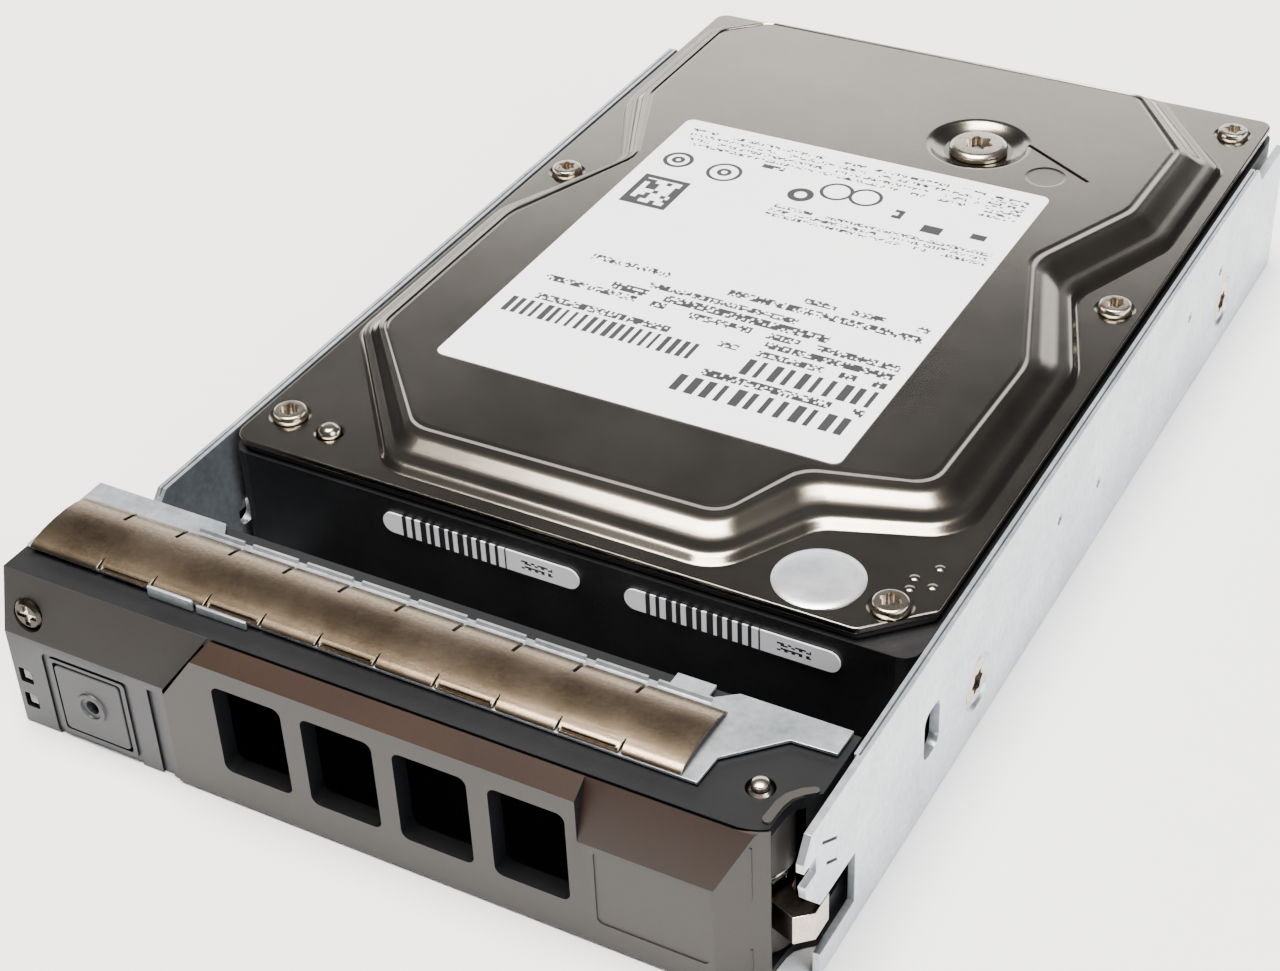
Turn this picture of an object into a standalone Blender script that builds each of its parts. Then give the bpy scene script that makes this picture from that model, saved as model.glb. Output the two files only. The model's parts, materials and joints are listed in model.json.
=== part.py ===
"""A 3.5 inch server hard disk drive in its hot-swap tray, as separate pieces with moving joints.

Lengths are in millimetres, measured from the drive's front left corner at the level of its cover flange:
x to the right, y back to the connector end, z up. place() turns them into metres in the part's own frame,
whose origin is the bottom centre of the whole object's box.
"""

import math

import bmesh
import bpy
from mathutils import Vector

MM = 0.001
GAP = 0.3

# The drive: the 3.5 inch form factor
DRIVE_WIDTH = 101.6
DRIVE_LENGTH = 147.0
DRIVE_HEIGHT = 26.1
PLATEAU_TOP = 2.2
DRIVE_BOTTOM = PLATEAU_TOP - DRIVE_HEIGHT
SIDE_HOLE_HEIGHT = 6.35
SIDE_HOLES_Y = (DRIVE_LENGTH - 130.1, DRIVE_LENGTH - 28.5)
BOTTOM_HOLES_Y = (DRIVE_LENGTH - 85.73, DRIVE_LENGTH - 41.28)
BOTTOM_HOLE_INSET = 3.18
MOUNT_THREAD_RADIUS = 1.75

# The tray and its bezel
TRAY_LEFT = -9.8
TRAY_RIGHT = 103.7
TRAY_FRONT = -38.0
TRAY_BOTTOM = DRIVE_BOTTOM - 1.5
RAIL_INNER = 0.7
RAIL_WALL = 1.4
RAIL_TOP = -0.6
RAIL_REAR = 146.5
SHEET = 1.2
BODY_TOP = -1.0
BODY_BACK = -15.8
BODY_RIGHT = 101.8
BODY_WALL = 1.6
HANDLE_PIN = (95.1, -28.3)
HANDLE_LEFT = 16.3
HANDLE_SWING = 7.0

# Inside the drive
SPINDLE = (50.3, 50.5)
PIVOT = (62.2, 116.4)
PLATTER_RADIUS = 47.5
PLATTER_BORE = 12.5
PLATTER_THICK = 1.3
PLATTER_PITCH = 3.4
FIRST_PLATTER = -13.4
CAVITY_FLOOR = -17.2
BASE_TOP = -2.1
HEAD_REACH = 58.0
PARKED = math.radians(-145.0)


def place(x, y, z):
    """The point in metres in the part's frame."""
    middle_x = (TRAY_LEFT + TRAY_RIGHT) / 2
    middle_y = (TRAY_FRONT + DRIVE_LENGTH) / 2
    return Vector((x - middle_x, y - middle_y, z - TRAY_BOTTOM)) * MM


# Outlines


def arc(centre, radius, start, end, steps):
    """Points on an arc, its angles in degrees."""
    angles = [math.radians(start + (end - start) * k / steps) for k in range(steps + 1)]
    return [(centre[0] + radius * math.cos(a), centre[1] + radius * math.sin(a)) for a in angles]


def circle(x, y, radius, sides=16):
    return arc((x, y), radius, 0, 360, sides)[:-1]


def rectangle(x0, x1, y0, y1):
    return [(x0, y0), (x1, y0), (x1, y1), (x0, y1)]


def rounded(corners, steps=3):
    """A closed outline through corners (x, y, radius), each turned by an arc."""
    outline = []
    for i, (x, y, radius) in enumerate(corners):
        here = Vector((x, y))
        to_last = (Vector(corners[i - 1][:2]) - here).normalized()
        to_next = (Vector(corners[(i + 1) % len(corners)][:2]) - here).normalized()
        half = to_last.angle(to_next) / 2
        centre = here + (to_last + to_next).normalized() * (radius / math.sin(half))
        reach = radius / math.tan(half)
        start = here + to_last * reach - centre
        turn = start.angle_signed(here + to_next * reach - centre)
        for k in range(steps + 1):
            angle = math.atan2(start.y, start.x) - turn * k / steps
            outline.append((centre.x + radius * math.cos(angle), centre.y + radius * math.sin(angle)))
    return outline


def rounded_box(x0, x1, y0, y1, radius, steps=3):
    return rounded([(x, y, radius) for x, y in rectangle(x0, x1, y0, y1)], steps)


def inset(outline, distance):
    """The outline moved inwards, for a counterclockwise outline."""
    moved = []
    for i, point in enumerate(outline):
        here = Vector(point)
        before = (here - Vector(outline[i - 1])).normalized()
        after = (Vector(outline[(i + 1) % len(outline)]) - here).normalized()
        along = (before + after).normalized()
        inwards = Vector((-along.y, along.x))
        moved.append(tuple(here + inwards * distance / max(0.3, along.dot(after))))
    return moved


# Solids

AXES = {
    "x": lambda a, b, height: (height, a, b),
    "y": lambda a, b, height: (a, height, b),
    "z": lambda a, b, height: (a, b, height),
}


def loft(rings, axis="z"):
    """A closed solid through (outline, height) rings of equal length."""
    mesh = bmesh.new()
    loops = [[mesh.verts.new(place(*AXES[axis](a, b, h))) for a, b in outline] for outline, h in rings]
    for low, high in zip(loops, loops[1:]):
        for i in range(len(low)):
            j = (i + 1) % len(low)
            mesh.faces.new((low[i], low[j], high[j], high[i]))
    mesh.faces.new(loops[0])
    mesh.faces.new(loops[-1])
    bmesh.ops.recalc_face_normals(mesh, faces=mesh.faces)
    return mesh


def prism(outline, low, high, axis="z"):
    return loft([(outline, low), (outline, high)], axis)


def block(x0, x1, y0, y1, z0, z1):
    return prism(rectangle(x0, x1, y0, y1), z0, z1)


def turned(a, b, profile, sides=16, axis="z"):
    """A closed (radius, height) profile turned about an axis through (a, b)."""
    mesh = bmesh.new()
    rings = []
    for k in range(sides):
        angle = 2 * math.pi * k / sides
        cosine, sine = math.cos(angle), math.sin(angle)
        points = [AXES[axis](a + r * cosine, b + r * sine, h) for r, h in profile]
        rings.append([mesh.verts.new(place(*point)) for point in points])
    for k in range(sides):
        here, there = rings[k], rings[(k + 1) % sides]
        for i, (radius, _) in enumerate(profile):
            j = (i + 1) % len(profile)
            if radius > 0 or profile[j][0] > 0:
                mesh.faces.new((here[i], there[i], there[j], here[j]))
    bmesh.ops.remove_doubles(mesh, verts=mesh.verts, dist=1e-7)
    bmesh.ops.recalc_face_normals(mesh, faces=mesh.faces)
    return mesh


def tube(x, y, inner, outer, low, high, sides=24):
    return turned(x, y, [(inner, low), (outer, low), (outer, high), (inner, high)], sides)


def rod(a, b, radius, low, high, sides=16, axis="z"):
    return turned(a, b, [(0, low), (radius, low), (radius, high), (0, high)], sides, axis)


# Objects

bodies = {}
materials = {}


def body(name, x, y, z):
    """The empty that carries a body's pieces, on its joint's axis."""
    empty = bpy.data.objects.new(f"{name}_body", None)
    empty.location = place(x, y, z)
    bpy.context.scene.collection.objects.link(empty)
    bodies[name] = empty


def material(name, colour, roughness, metallic):
    made = bpy.data.materials.new(name)
    made.use_nodes = True
    shader = made.node_tree.nodes["Principled BSDF"]
    shader.inputs["Base Color"].default_value = (*colour, 1)
    shader.inputs["Roughness"].default_value = roughness
    shader.inputs["Metallic"].default_value = metallic
    materials[name] = made


def attach(obj, origin, body_name):
    empty = bodies[body_name]
    obj.parent = empty
    obj.location = origin - empty.location
    bpy.context.scene.collection.objects.link(obj)
    return obj


def piece(name, mesh, material_name, body_name="frame"):
    """A named object that holds the mesh, with its origin at its own middle or on its joint's axis."""
    low = Vector([min(v.co[i] for v in mesh.verts) for i in range(3)])
    high = Vector([max(v.co[i] for v in mesh.verts) for i in range(3)])
    origin = (low + high) / 2 if body_name == "frame" else bodies[body_name].location
    bmesh.ops.translate(mesh, verts=mesh.verts, vec=-origin)
    data = bpy.data.meshes.new(name)
    mesh.to_mesh(data)
    mesh.free()
    data.materials.append(materials[material_name])
    data.shade_smooth()
    data.set_sharp_from_angle(angle=math.radians(35))
    return attach(bpy.data.objects.new(name, data), origin, body_name)


def combine(target, mesh, operation):
    """Adds a hidden helper solid to the target, or cuts it from it."""
    name = f"{target.name}_{operation.lower()}_{len(target.modifiers)}"
    helper = piece(name, mesh, "black_plastic")
    helper.hide_render = True
    helper.display_type = "WIRE"
    modifier = target.modifiers.new(operation.title(), "BOOLEAN")
    modifier.operation = operation
    modifier.object = helper


def cut(target, *meshes):
    for mesh in meshes:
        combine(target, mesh, "DIFFERENCE")


def add(target, *meshes):
    for mesh in meshes:
        combine(target, mesh, "UNION")


def coil(name, centre, radius, wire, low, high, turns, axis, material_name):
    """A helical wire spring between two heights along an axis."""
    steps = 10 * turns
    curve = bpy.data.curves.new(name, "CURVE")
    curve.dimensions = "3D"
    curve.bevel_depth = wire / 2 * MM
    curve.bevel_resolution = 1
    curve.use_fill_caps = True
    spline = curve.splines.new("POLY")
    spline.points.add(steps)
    origin = place(*AXES[axis](*centre, low))
    for k, point in enumerate(spline.points):
        angle = 2 * math.pi * k * turns / steps
        a = centre[0] + radius * math.cos(angle)
        b = centre[1] + radius * math.sin(angle)
        there = place(*AXES[axis](a, b, low + (high - low) * k / steps))
        point.co = (*(there - origin), 1)
    curve.materials.append(materials[material_name])
    return attach(bpy.data.objects.new(name, curve), origin, "frame")


# The drive's casting and cover

COVER_SCREWS = [(4.8, 7.8), (95.7, 6.1), (4.7, 84.0), (97.3, 82.0), (96.6, 140.0)]
COVER_PIN = (12.1, 6.7)

OUTER_RIDGE = [
    (1.2, 29.5, 6), (23.5, 2.5, 6), (73.5, 2.5, 7), (81.5, 16.0, 6), (99.2, 22.5, 8), (99.2, 63.0, 14),
    (91.6, 82.0, 7), (99.2, 101.0, 10), (99.2, 127.5, 4), (84.0, 145.6, 4), (9.0, 145.6, 2), (1.6, 139.5, 2),
    (1.6, 108.5, 9), (10.8, 90.0, 5), (1.2, 69.0, 10),
]  # fmt: skip
INNER_RIDGE = [
    (5.2, 30.5, 5), (23.5, 10.4, 5), (69.8, 11.2, 4), (75.2, 24.2, 5), (91.8, 28.8, 4), (92.4, 60.0, 12),
    (83.2, 86.5, 7), (91.4, 106.0, 8), (91.8, 127.0, 3), (80.0, 142.5, 3), (12.0, 142.5, 3), (5.8, 136.5, 3),
    (5.8, 110.0, 8), (14.2, 90.0, 5), (5.2, 66.0, 10),
]  # fmt: skip
ACTUATOR_BAY = [
    (9.2, 78, 1), (9.2, 134, 3), (18, 142.5, 3), (84, 142.5, 3), (92.5, 134, 3), (92.5, 93, 3), (86, 80, 1),
]  # fmt: skip
WELL_RADIUS = 48.7
SLOPE = 0.9


def base_casting():
    outline = rounded_box(0, DRIVE_WIDTH, 0, DRIVE_LENGTH, 2.5)
    base = piece("base_casting", prism(outline, DRIVE_BOTTOM, BASE_TOP), "black_casting")
    cut(base, prism(circle(*SPINDLE, WELL_RADIUS, 64), CAVITY_FLOOR, 1))
    cut(base, prism(rounded(ACTUATOR_BAY), CAVITY_FLOOR, 1))
    cut(base, block(6, 95.6, 46, DRIVE_LENGTH + 1, DRIVE_BOTTOM - 1, -19.6))
    for x, y in COVER_SCREWS:
        cut(base, rod(x, y, 1.5, -11, 1, 12))
    cut(base, rod(*COVER_PIN, 2, -9, 1, 12))
    for y in (*SIDE_HOLES_Y, DRIVE_LENGTH - 70.1):
        height = DRIVE_BOTTOM + SIDE_HOLE_HEIGHT
        cut(base, rod(y, height, MOUNT_THREAD_RADIUS, -1, 4.2, 12, "x"))
        cut(base, rod(y, height, MOUNT_THREAD_RADIUS, DRIVE_WIDTH - 4.2, DRIVE_WIDTH + 1, 12, "x"))
    for y in BOTTOM_HOLES_Y:
        for x in (BOTTOM_HOLE_INSET, DRIVE_WIDTH - BOTTOM_HOLE_INSET):
            cut(base, rod(x, y, MOUNT_THREAD_RADIUS, DRIVE_BOTTOM - 1, DRIVE_BOTTOM + 4, 12))


def terrace(corners, low, high):
    """A step of the stamped cover: its outline at the foot, drawn in to the top of its slope."""
    outline = rounded(corners)
    return loft([(outline, low), (outline, low + 0.4), (inset(outline, SLOPE), high)])


def cover_outline(edge):
    width, length = DRIVE_WIDTH - edge, DRIVE_LENGTH - edge
    front = [(edge, edge, 2.5), (93.6, edge, 1.5), (width, 8.0, 1.5)]
    return rounded([*front, (width, length, 2), (edge, length, 2)])


def top_cover():
    cover = piece("top_cover", prism(cover_outline(0.3), -1, 0), "satin_steel")
    add(cover, terrace(OUTER_RIDGE, -0.4, 1.1))
    add(cover, terrace(INNER_RIDGE, 0.7, PLATEAU_TOP))
    cut(cover, prism(inset(rounded(INNER_RIDGE), 1.8), -2, PLATEAU_TOP - 1))
    add(cover, rod(*PIVOT, 10, 0.2, PLATEAU_TOP - 0.6, 24))
    cut(cover, rod(*PIVOT, 7.4, PLATEAU_TOP - 1.2, 4, 24))
    cut(cover, rod(*PIVOT, 2, -2, 4, 12))
    for x, y in COVER_SCREWS:
        cut(cover, rod(x, y, 1.5, -2, 1, 12))
    cut(cover, rod(*COVER_PIN, 2, -2, 1, 12))


def cover_gasket():
    outline = cover_outline(0.7)
    gasket = piece("cover_gasket", prism(outline, BASE_TOP + GAP, -1 - GAP), "gasket_rubber")
    cut(gasket, prism(circle(*SPINDLE, WELL_RADIUS + 0.2, 64), -3, 0))
    cut(gasket, prism(inset(rounded(ACTUATOR_BAY)[::-1], -0.4), -3, 0))
    for x, y in COVER_SCREWS:
        cut(gasket, rod(x, y, 1.5, -3, 0, 12))
    cut(gasket, rod(*COVER_PIN, 2, -3, 0, 12))


def cover_screws():
    profile = [(0, -9), (1.2, -9), (1.2, GAP), (2.5, GAP), (2.5, 1.0), (1.9, 1.4), (0, 1.4)]
    for k, (x, y) in enumerate(COVER_SCREWS, 1):
        piece(f"cover_screw_{k}", turned(x, y, profile, 12), "steel")
    profile = [(0, -7), (1.7, -7), (1.7, 0.3), (1.2, 0.9), (0, 1.1)]
    piece("locating_pin", turned(*COVER_PIN, profile, 12), "steel")
    floor = PLATEAU_TOP - 1.2 + GAP
    profile = [(0, -6), (1.7, -6), (1.7, floor), (4.8, floor), (4.8, floor + 0.8)]
    profile += [(4.2, floor + 1.2), (0, floor + 1.2)]
    piece("pivot_screw", turned(*PIVOT, profile, 20), "steel")


def labels():
    face = PLATEAU_TOP + 0.1
    piece("drive_label", block(16.2, 79.0, 27.0, 104.5, face, face + 0.2), "label_paper")
    piece("seal_sticker", rod(85.6, 7.1, 6.0, 0.1, 0.35, 24), "foil")
    for name, x in (("front_label_left", 24.9), ("front_label_right", 61.8)):
        pill = rounded_box(x, x + 30.2, -7.5, -4.3, 1.55)
        piece(name, prism(pill, -0.35, -0.1, "y"), "label_paper")


def electronics():
    board = piece("circuit_board", block(7, 94.6, 48, 136.5, -22.3, -20.7), "board_green")
    for x0, x1, y0, y1 in ((30, 47, 88, 105), (60, 72, 90, 100), (22, 32, 60, 70), (70, 84, 60, 72)):
        add(board, block(x0, x1, y0, y1, -23.3, -22))
    piece("board_pad", block(10, 91.6, 51, 134, -20.4, -19.9), "foam")
    connector = piece("sas_connector", block(49, 94, 136.8, 146.6, -23.4, -20), "black_plastic")
    cut(connector, block(52, 91, 139.5, 148, -22.6, -20.9))
    add(connector, block(54, 89, 139, 146, -22, -21.5))


# The disc pack


def disc_pack():
    top = FIRST_PLATTER + 2 * PLATTER_PITCH + PLATTER_THICK
    rim = FIRST_PLATTER - GAP
    cup = [(0, top - 1.5), (11.2, top - 1.5), (11.2, -15.4), (16, -15.4), (16, rim), (12.2, rim)]
    cup += [(12.2, top), (0, top)]
    piece("spindle_hub", turned(*SPINDLE, cup, 32), "aluminium", "disc_pack")
    piece("rotor_magnet", tube(*SPINDLE, 9.7, 10.9, -15.2, -8, 32), "magnet", "disc_pack")
    for k in range(3):
        low = FIRST_PLATTER + k * PLATTER_PITCH
        platter = tube(*SPINDLE, PLATTER_BORE, PLATTER_RADIUS, low, low + PLATTER_THICK, 48)
        piece(f"platter_{k + 1}", platter, "mirror", "disc_pack")
    for k in range(2):
        low = FIRST_PLATTER + PLATTER_THICK + GAP + k * PLATTER_PITCH
        high = low + PLATTER_PITCH - PLATTER_THICK - 2 * GAP
        piece(f"spacer_{k + 1}", tube(*SPINDLE, PLATTER_BORE, 16, low, high), "aluminium", "disc_pack")
    low = top + GAP
    piece("disc_clamp", tube(*SPINDLE, 2, 16, low, low + 1.2), "aluminium", "disc_pack")


def motor():
    teeth = []
    for k in range(9):
        middle = 40 * k
        teeth += arc(SPINDLE, 9.3, middle - 14, middle + 14, 2)
        teeth += arc(SPINDLE, 5.5, middle + 18, middle + 22, 1)
    stator = piece("motor_stator", prism(teeth, -15.4, -8.4), "copper")
    cut(stator, rod(*SPINDLE, 2.9, -17, -7))
    piece("spindle_shaft", rod(*SPINDLE, 2.5, CAVITY_FLOOR + GAP, -7.2), "steel")


# The head stack


def polar(distance, aside, angle=PARKED):
    """A point at a distance from the pivot along an angle, and aside from that line to its left."""
    cosine, sine = math.cos(angle), math.sin(angle)
    return (PIVOT[0] + distance * cosine - aside * sine, PIVOT[1] + distance * sine + aside * cosine)


def head_stack():
    carriage = piece("head_carriage", rod(*PIVOT, 8.5, -15.6, -3.4, 24), "aluminium", "head_stack")
    arm = [polar(2, -6), polar(34, -2.2), polar(34, 2.2), polar(2, 6)]
    levels = [-14.5, -11.05, -7.65, -4.25]
    for level in levels:
        add(carriage, prism(arm, level - 0.5, level + 0.5))
    add(carriage, prism([polar(-4, -6), polar(-4, 6), polar(-12.4, 5), polar(-12.4, -5)], -11.6, -8.4))
    cut(carriage, rod(*PIVOT, 6.5, -17, -2, 24))
    piece("pivot_bearing", tube(*PIVOT, 3.3, 6.2, -15.6, -3.4), "steel", "head_stack")
    winding = [polar(-12.8, -5.5), polar(-12.8, 5.5), polar(-23.8, 8.5), polar(-23.8, -8.5)]
    voice_coil = piece("voice_coil", prism(winding, -11.4, -8.6), "copper", "head_stack")
    eye = [polar(-15, -2.8), polar(-15, 2.8), polar(-21.5, 5.2), polar(-21.5, -5.2)]
    cut(voice_coil, prism(eye, -13, -7))
    for k, level in enumerate(levels, 1):
        spring = [polar(34.3, -2), polar(HEAD_REACH - 2, -0.8), polar(HEAD_REACH + 1.8, -0.4)]
        spring += [polar(HEAD_REACH + 1.8, 0.4), polar(HEAD_REACH - 2, 0.8), polar(34.3, 2)]
        leaf = prism(spring, level - 0.25, level + 0.25)
        suspension = piece(f"suspension_{k}", leaf, "steel", "head_stack")
        slider = [polar(HEAD_REACH - 0.6, -0.6), polar(HEAD_REACH + 0.6, -0.6)]
        slider += [polar(HEAD_REACH + 0.6, 0.6), polar(HEAD_REACH - 0.6, 0.6)]
        add(suspension, prism(slider, level - 0.5, level + 0.5))
    piece("pivot_shaft", tube(*PIVOT, 2, 3, CAVITY_FLOOR + GAP, -0.2, 16), "steel")


def voice_coil_motor():
    """Two steel yokes, each with its magnet bonded to it, above and below the coil."""
    yoke = arc(PIVOT, 12.5, 14, 86, 8) + arc(PIVOT, 25.6, 86, 14, 10)
    magnet = arc(PIVOT, 13.5, 20, 80, 8) + arc(PIVOT, 24.8, 80, 20, 10)
    lower = piece("lower_yoke", prism(yoke, CAVITY_FLOOR + GAP, -14.8), "zinc")
    add(lower, prism(magnet, -15, -12.4))
    upper = piece("upper_yoke", prism(yoke, -5.2, -3.2), "zinc")
    add(upper, prism(magnet, -7.6, -5))


def small_inner_parts():
    ramp = [polar(60.3, -2.4), polar(61.8, -2.4), polar(61.8, 0), polar(60.3, 0)]
    piece("load_ramp", prism(ramp, CAVITY_FLOOR + GAP, -3.4), "white_plastic")
    bracket = piece("flex_bracket", block(16, 36, 130, 139, CAVITY_FLOOR + GAP, -13), "white_plastic")
    add(bracket, block(30, 36, 127, 139, -14, -6))
    piece("air_filter", block(84, 91, 99, 102, CAVITY_FLOOR + GAP, -4), "white_plastic")


# The tray


def rail_profile(front):
    """The side view of a rail's wall, as (y, z)."""
    rear = [(RAIL_REAR, TRAY_BOTTOM), (RAIL_REAR, RAIL_TOP - 3), (134, RAIL_TOP - 3), (131.5, RAIL_TOP)]
    return rear + front


def right_rail():
    front = [(-33, RAIL_TOP), (-35, -3.5), (-35, -4.8), (-31.7, -4.8), (-31.7, -7.4), (-34.6, -7.4)]
    front += [(-34.2, -9.4), (-30.6, -13.6), (-21, -13.9), (-21, -22), (-30.5, -22)]
    outer = DRIVE_WIDTH + RAIL_INNER + RAIL_WALL
    inner = DRIVE_WIDTH + RAIL_INNER
    side = rail_profile([*front, (-30.5, TRAY_BOTTOM)])
    rail = piece("tray_right_rail", prism(side, inner, outer, "x"), "zinc")
    cut(rail, block(inner - 1, inner + 0.4, -40, -19, -30, 5))
    for y0, y1, z in ((-30.2, -26.2, -4), (-29, -26.1, -8.2)):
        fall = (y1 - y0) * 0.65
        slot = [(y0, z), (y1, z - fall), (y1, z - fall - 0.5), (y0, z - 0.5)]
        cut(rail, prism(slot, inner - 1, outer + 1, "x"))
    cut(rail, prism(rounded_box(-1, 3.8, -17, -9.5, 1.5), inner - 1, outer + 1, "x"))
    add(rail, block(inner - 4, inner + 0.6, BODY_BACK + GAP, RAIL_REAR - 1, TRAY_BOTTOM, TRAY_BOTTOM + SHEET))
    for y in SIDE_HOLES_Y:
        height = DRIVE_BOTTOM + SIDE_HOLE_HEIGHT
        cut(rail, rod(y, height, 3.6, outer - 1, outer + 1, 16, "x"))
        cut(rail, rod(y, height, 1.8, inner - 1, outer + 1, 12, "x"))


def left_rail():
    front = [(-13, RAIL_TOP), (-14.5, RAIL_TOP - 1.5), (-14.5, TRAY_BOTTOM)]
    outer = -RAIL_INNER - RAIL_WALL
    rail = piece("tray_left_rail", prism(rail_profile(front), outer, -RAIL_INNER, "x"), "zinc")
    cut(rail, prism(rounded_box(0.2, 3.4, -16.2, -12.2, 1.5), outer - 1, 1, "x"))
    add(rail, block(-RAIL_INNER - 0.6, -RAIL_INNER + 4, -14, RAIL_REAR - 1, TRAY_BOTTOM, TRAY_BOTTOM + SHEET))
    for y in SIDE_HOLES_Y:
        height = DRIVE_BOTTOM + SIDE_HOLE_HEIGHT
        cut(rail, rod(y, height, 3.6, outer - 1, outer + 1, 16, "x"))
        cut(rail, rod(y, height, 1.8, outer - 1, 1, 12, "x"))


def rear_strap():
    strap = block(RAIL_INNER + 3, DRIVE_WIDTH - RAIL_INNER - 3, 140, 146, TRAY_BOTTOM, TRAY_BOTTOM + SHEET)
    piece("tray_rear_strap", strap, "zinc")


def mount_screws():
    """Countersunk screws through the rails' dimples into the drive's side threads."""
    height = DRIVE_BOTTOM + SIDE_HOLE_HEIGHT
    number = 1
    for face, inwards in ((TRAY_RIGHT, -1), (-RAIL_INNER - RAIL_WALL, 1)):
        for y in SIDE_HOLES_Y:
            head, tip = face + inwards * 0.7, face + inwards * 5.6
            profile = [(0, face), (3.3, face), (3.3, head), (1.45, head), (1.45, tip), (0, tip)]
            piece(f"mount_screw_{number}", turned(y, height, profile, 12, "x"), "steel")
            number += 1


# The bezel, its handle and its button

BUTTON = (-2.6, 8.6, -24.0, -12.6)
LIGHTS_Z = (-17.1, -21.4)
LIGHTS_X = -7.9
WINDOWS = 4
WINDOW_LEFT = 24.6
WINDOW_PITCH = 13.3
WINDOW_WIDTH = 10.4
WINDOW_BOTTOM = -19.8
WINDOW_TOP = -5.8
BLOCK_FRONT = -37.5
BLOCK_RIGHT = 15.9
CLAW_NOTCH = [(98.9, -31.6), (99.1, -29.4), (99.9, -28), (101.8, -26.1)]


def window(index, margin=0):
    left = WINDOW_LEFT + index * WINDOW_PITCH
    return rounded_box(left - margin, left + WINDOW_WIDTH + margin, WINDOW_BOTTOM, WINDOW_TOP, 1.2)


def bezel_body():
    front = BLOCK_FRONT + 2.5
    plan = [(BLOCK_RIGHT, BLOCK_FRONT), (BLOCK_RIGHT, front)]
    plan += arc(HANDLE_PIN, HANDLE_SWING - GAP, -90, -56, 4) + CLAW_NOTCH
    plan += [(BODY_RIGHT, BODY_BACK), (TRAY_LEFT, BODY_BACK), (TRAY_LEFT, BLOCK_FRONT)]
    bezel = piece("bezel_body", prism(plan, TRAY_BOTTOM, BODY_TOP), "black_plastic")
    shoulder = [(10, BODY_TOP), (22.9, BODY_TOP), (BLOCK_RIGHT, -10.3), (10, -10.3)]
    add(bezel, prism(shoulder, BLOCK_FRONT, front + 0.2, "y"))
    low, high = TRAY_BOTTOM + SHEET, BODY_TOP - BODY_WALL
    back = BODY_BACK - BODY_WALL
    side = BODY_RIGHT - 1.5
    bay = [(BLOCK_RIGHT, -41), (110, -41), (110, -27.5), (side, -27.5), (side, back), (BLOCK_RIGHT, back)]
    cut(bezel, prism([(x, max(y, front - 0.1)) for x, y in bay], low, high))
    cut(bezel, block(TRAY_LEFT + 1.5, BLOCK_RIGHT + 1, -30, back, low, high))
    cut(bezel, block(side - 1, BODY_RIGHT + 1, -30, -19.5, -19.5, -14))
    x0, x1, z0, z1 = BUTTON
    cut(bezel, block(x0, x1, -40, -29, z0, z1))
    for z in LIGHTS_Z:
        cut(bezel, block(LIGHTS_X - 1, LIGHTS_X + 1, -40, -10, z - 1.1, z + 1.1))
    slope = [(-41, 1), (front, 1), (front, BODY_TOP), (BLOCK_FRONT, -10), (-41, -10)]
    cut(bezel, prism(slope, TRAY_LEFT - 1, 30, "x"))
    for k in range(WINDOWS):
        cut(bezel, prism(window(k), back - 1, BODY_BACK + 1, "y"))
    cut(bezel, rod(*HANDLE_PIN, 1.8, -30, 5, 12))
    cut(bezel, rod(-5.8, -6.6, 1.3, -40, -29, 12, "y"))
    cut(bezel, rod(-5.8, -6.6, 2.4, -40, -35.6, 12, "y"))
    add(bezel, block(3.8, 97.8, BODY_BACK - 1, 6, TRAY_BOTTOM, TRAY_BOTTOM + SHEET))


def bezel_screw():
    profile = [(0, -36.6), (2.1, -36.6), (2.1, -35.9), (1, -35.9), (1, -30), (0, -30)]
    piece("bezel_screw", turned(-5.8, -6.6, profile, 12, "y"), "steel")


def handle():
    face, back = TRAY_FRONT, HANDLE_PIN[1] - HANDLE_SWING
    low, high = TRAY_BOTTOM + 0.2, BODY_TOP
    plan = [(HANDLE_LEFT, face), (93.9, face), (99.3, -34.3)]
    plan += arc(HANDLE_PIN, HANDLE_SWING, -54, -90, 3) + [(HANDLE_LEFT, back)]
    lever = piece("handle_lever", prism(plan, low, high), "grey_plastic", "handle")
    for left, foot in ((0, -3), (76.4, -9.2)):
        edge = BODY_TOP - 0.2
        beyond = edge + (edge - foot) / (back - face)
        cut(lever, prism([(-45, foot), (face, foot), (back + 1, beyond), (-45, beyond)], left, 120, "x"))
    corner = [(0, 5), (23.4, 5), (23.4, BODY_TOP), (HANDLE_LEFT, -10.6), (0, -10.6)]
    cut(lever, prism(corner, -45, -30, "y"))
    for k in range(WINDOWS):
        cut(lever, prism(window(k), -45, -30, "y"))
    for z0, z1 in ((-23.8, -19.2), (-11.2, -3)):
        add(lever, rod(*HANDLE_PIN, 4, z0, z1))
        add(lever, block(92.6, 97.6, back - 0.4, HANDLE_PIN[1], z0, z1))
    cut(lever, rod(*HANDLE_PIN, 1.8, -30, 5, 12))
    arm = [(97, -31.4), (101.4, -33), (103.4, -31.2), (103.4, -27.6), (101.9, -28), (101.2, -30.2)]
    arm.append((97.6, -27.2))
    claw = piece("handle_claw", rod(*HANDLE_PIN, 4, -18.9, -14.6), "steel", "handle")
    add(claw, prism(arm, -18.9, -14.6))
    cut(claw, rod(*HANDLE_PIN, 1.8, -30, 5, 12))
    pin = [(0, -25.2), (1.5, -25.2), (1.5, -0.7), (1.7, -0.7), (1.7, -0.2), (0, -0.2)]
    piece("handle_pin", turned(*HANDLE_PIN, pin, 12), "steel")
    coil("handle_spring", HANDLE_PIN, 2.9, 0.6, -14, -11.8, 3, "z", "steel")


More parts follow.
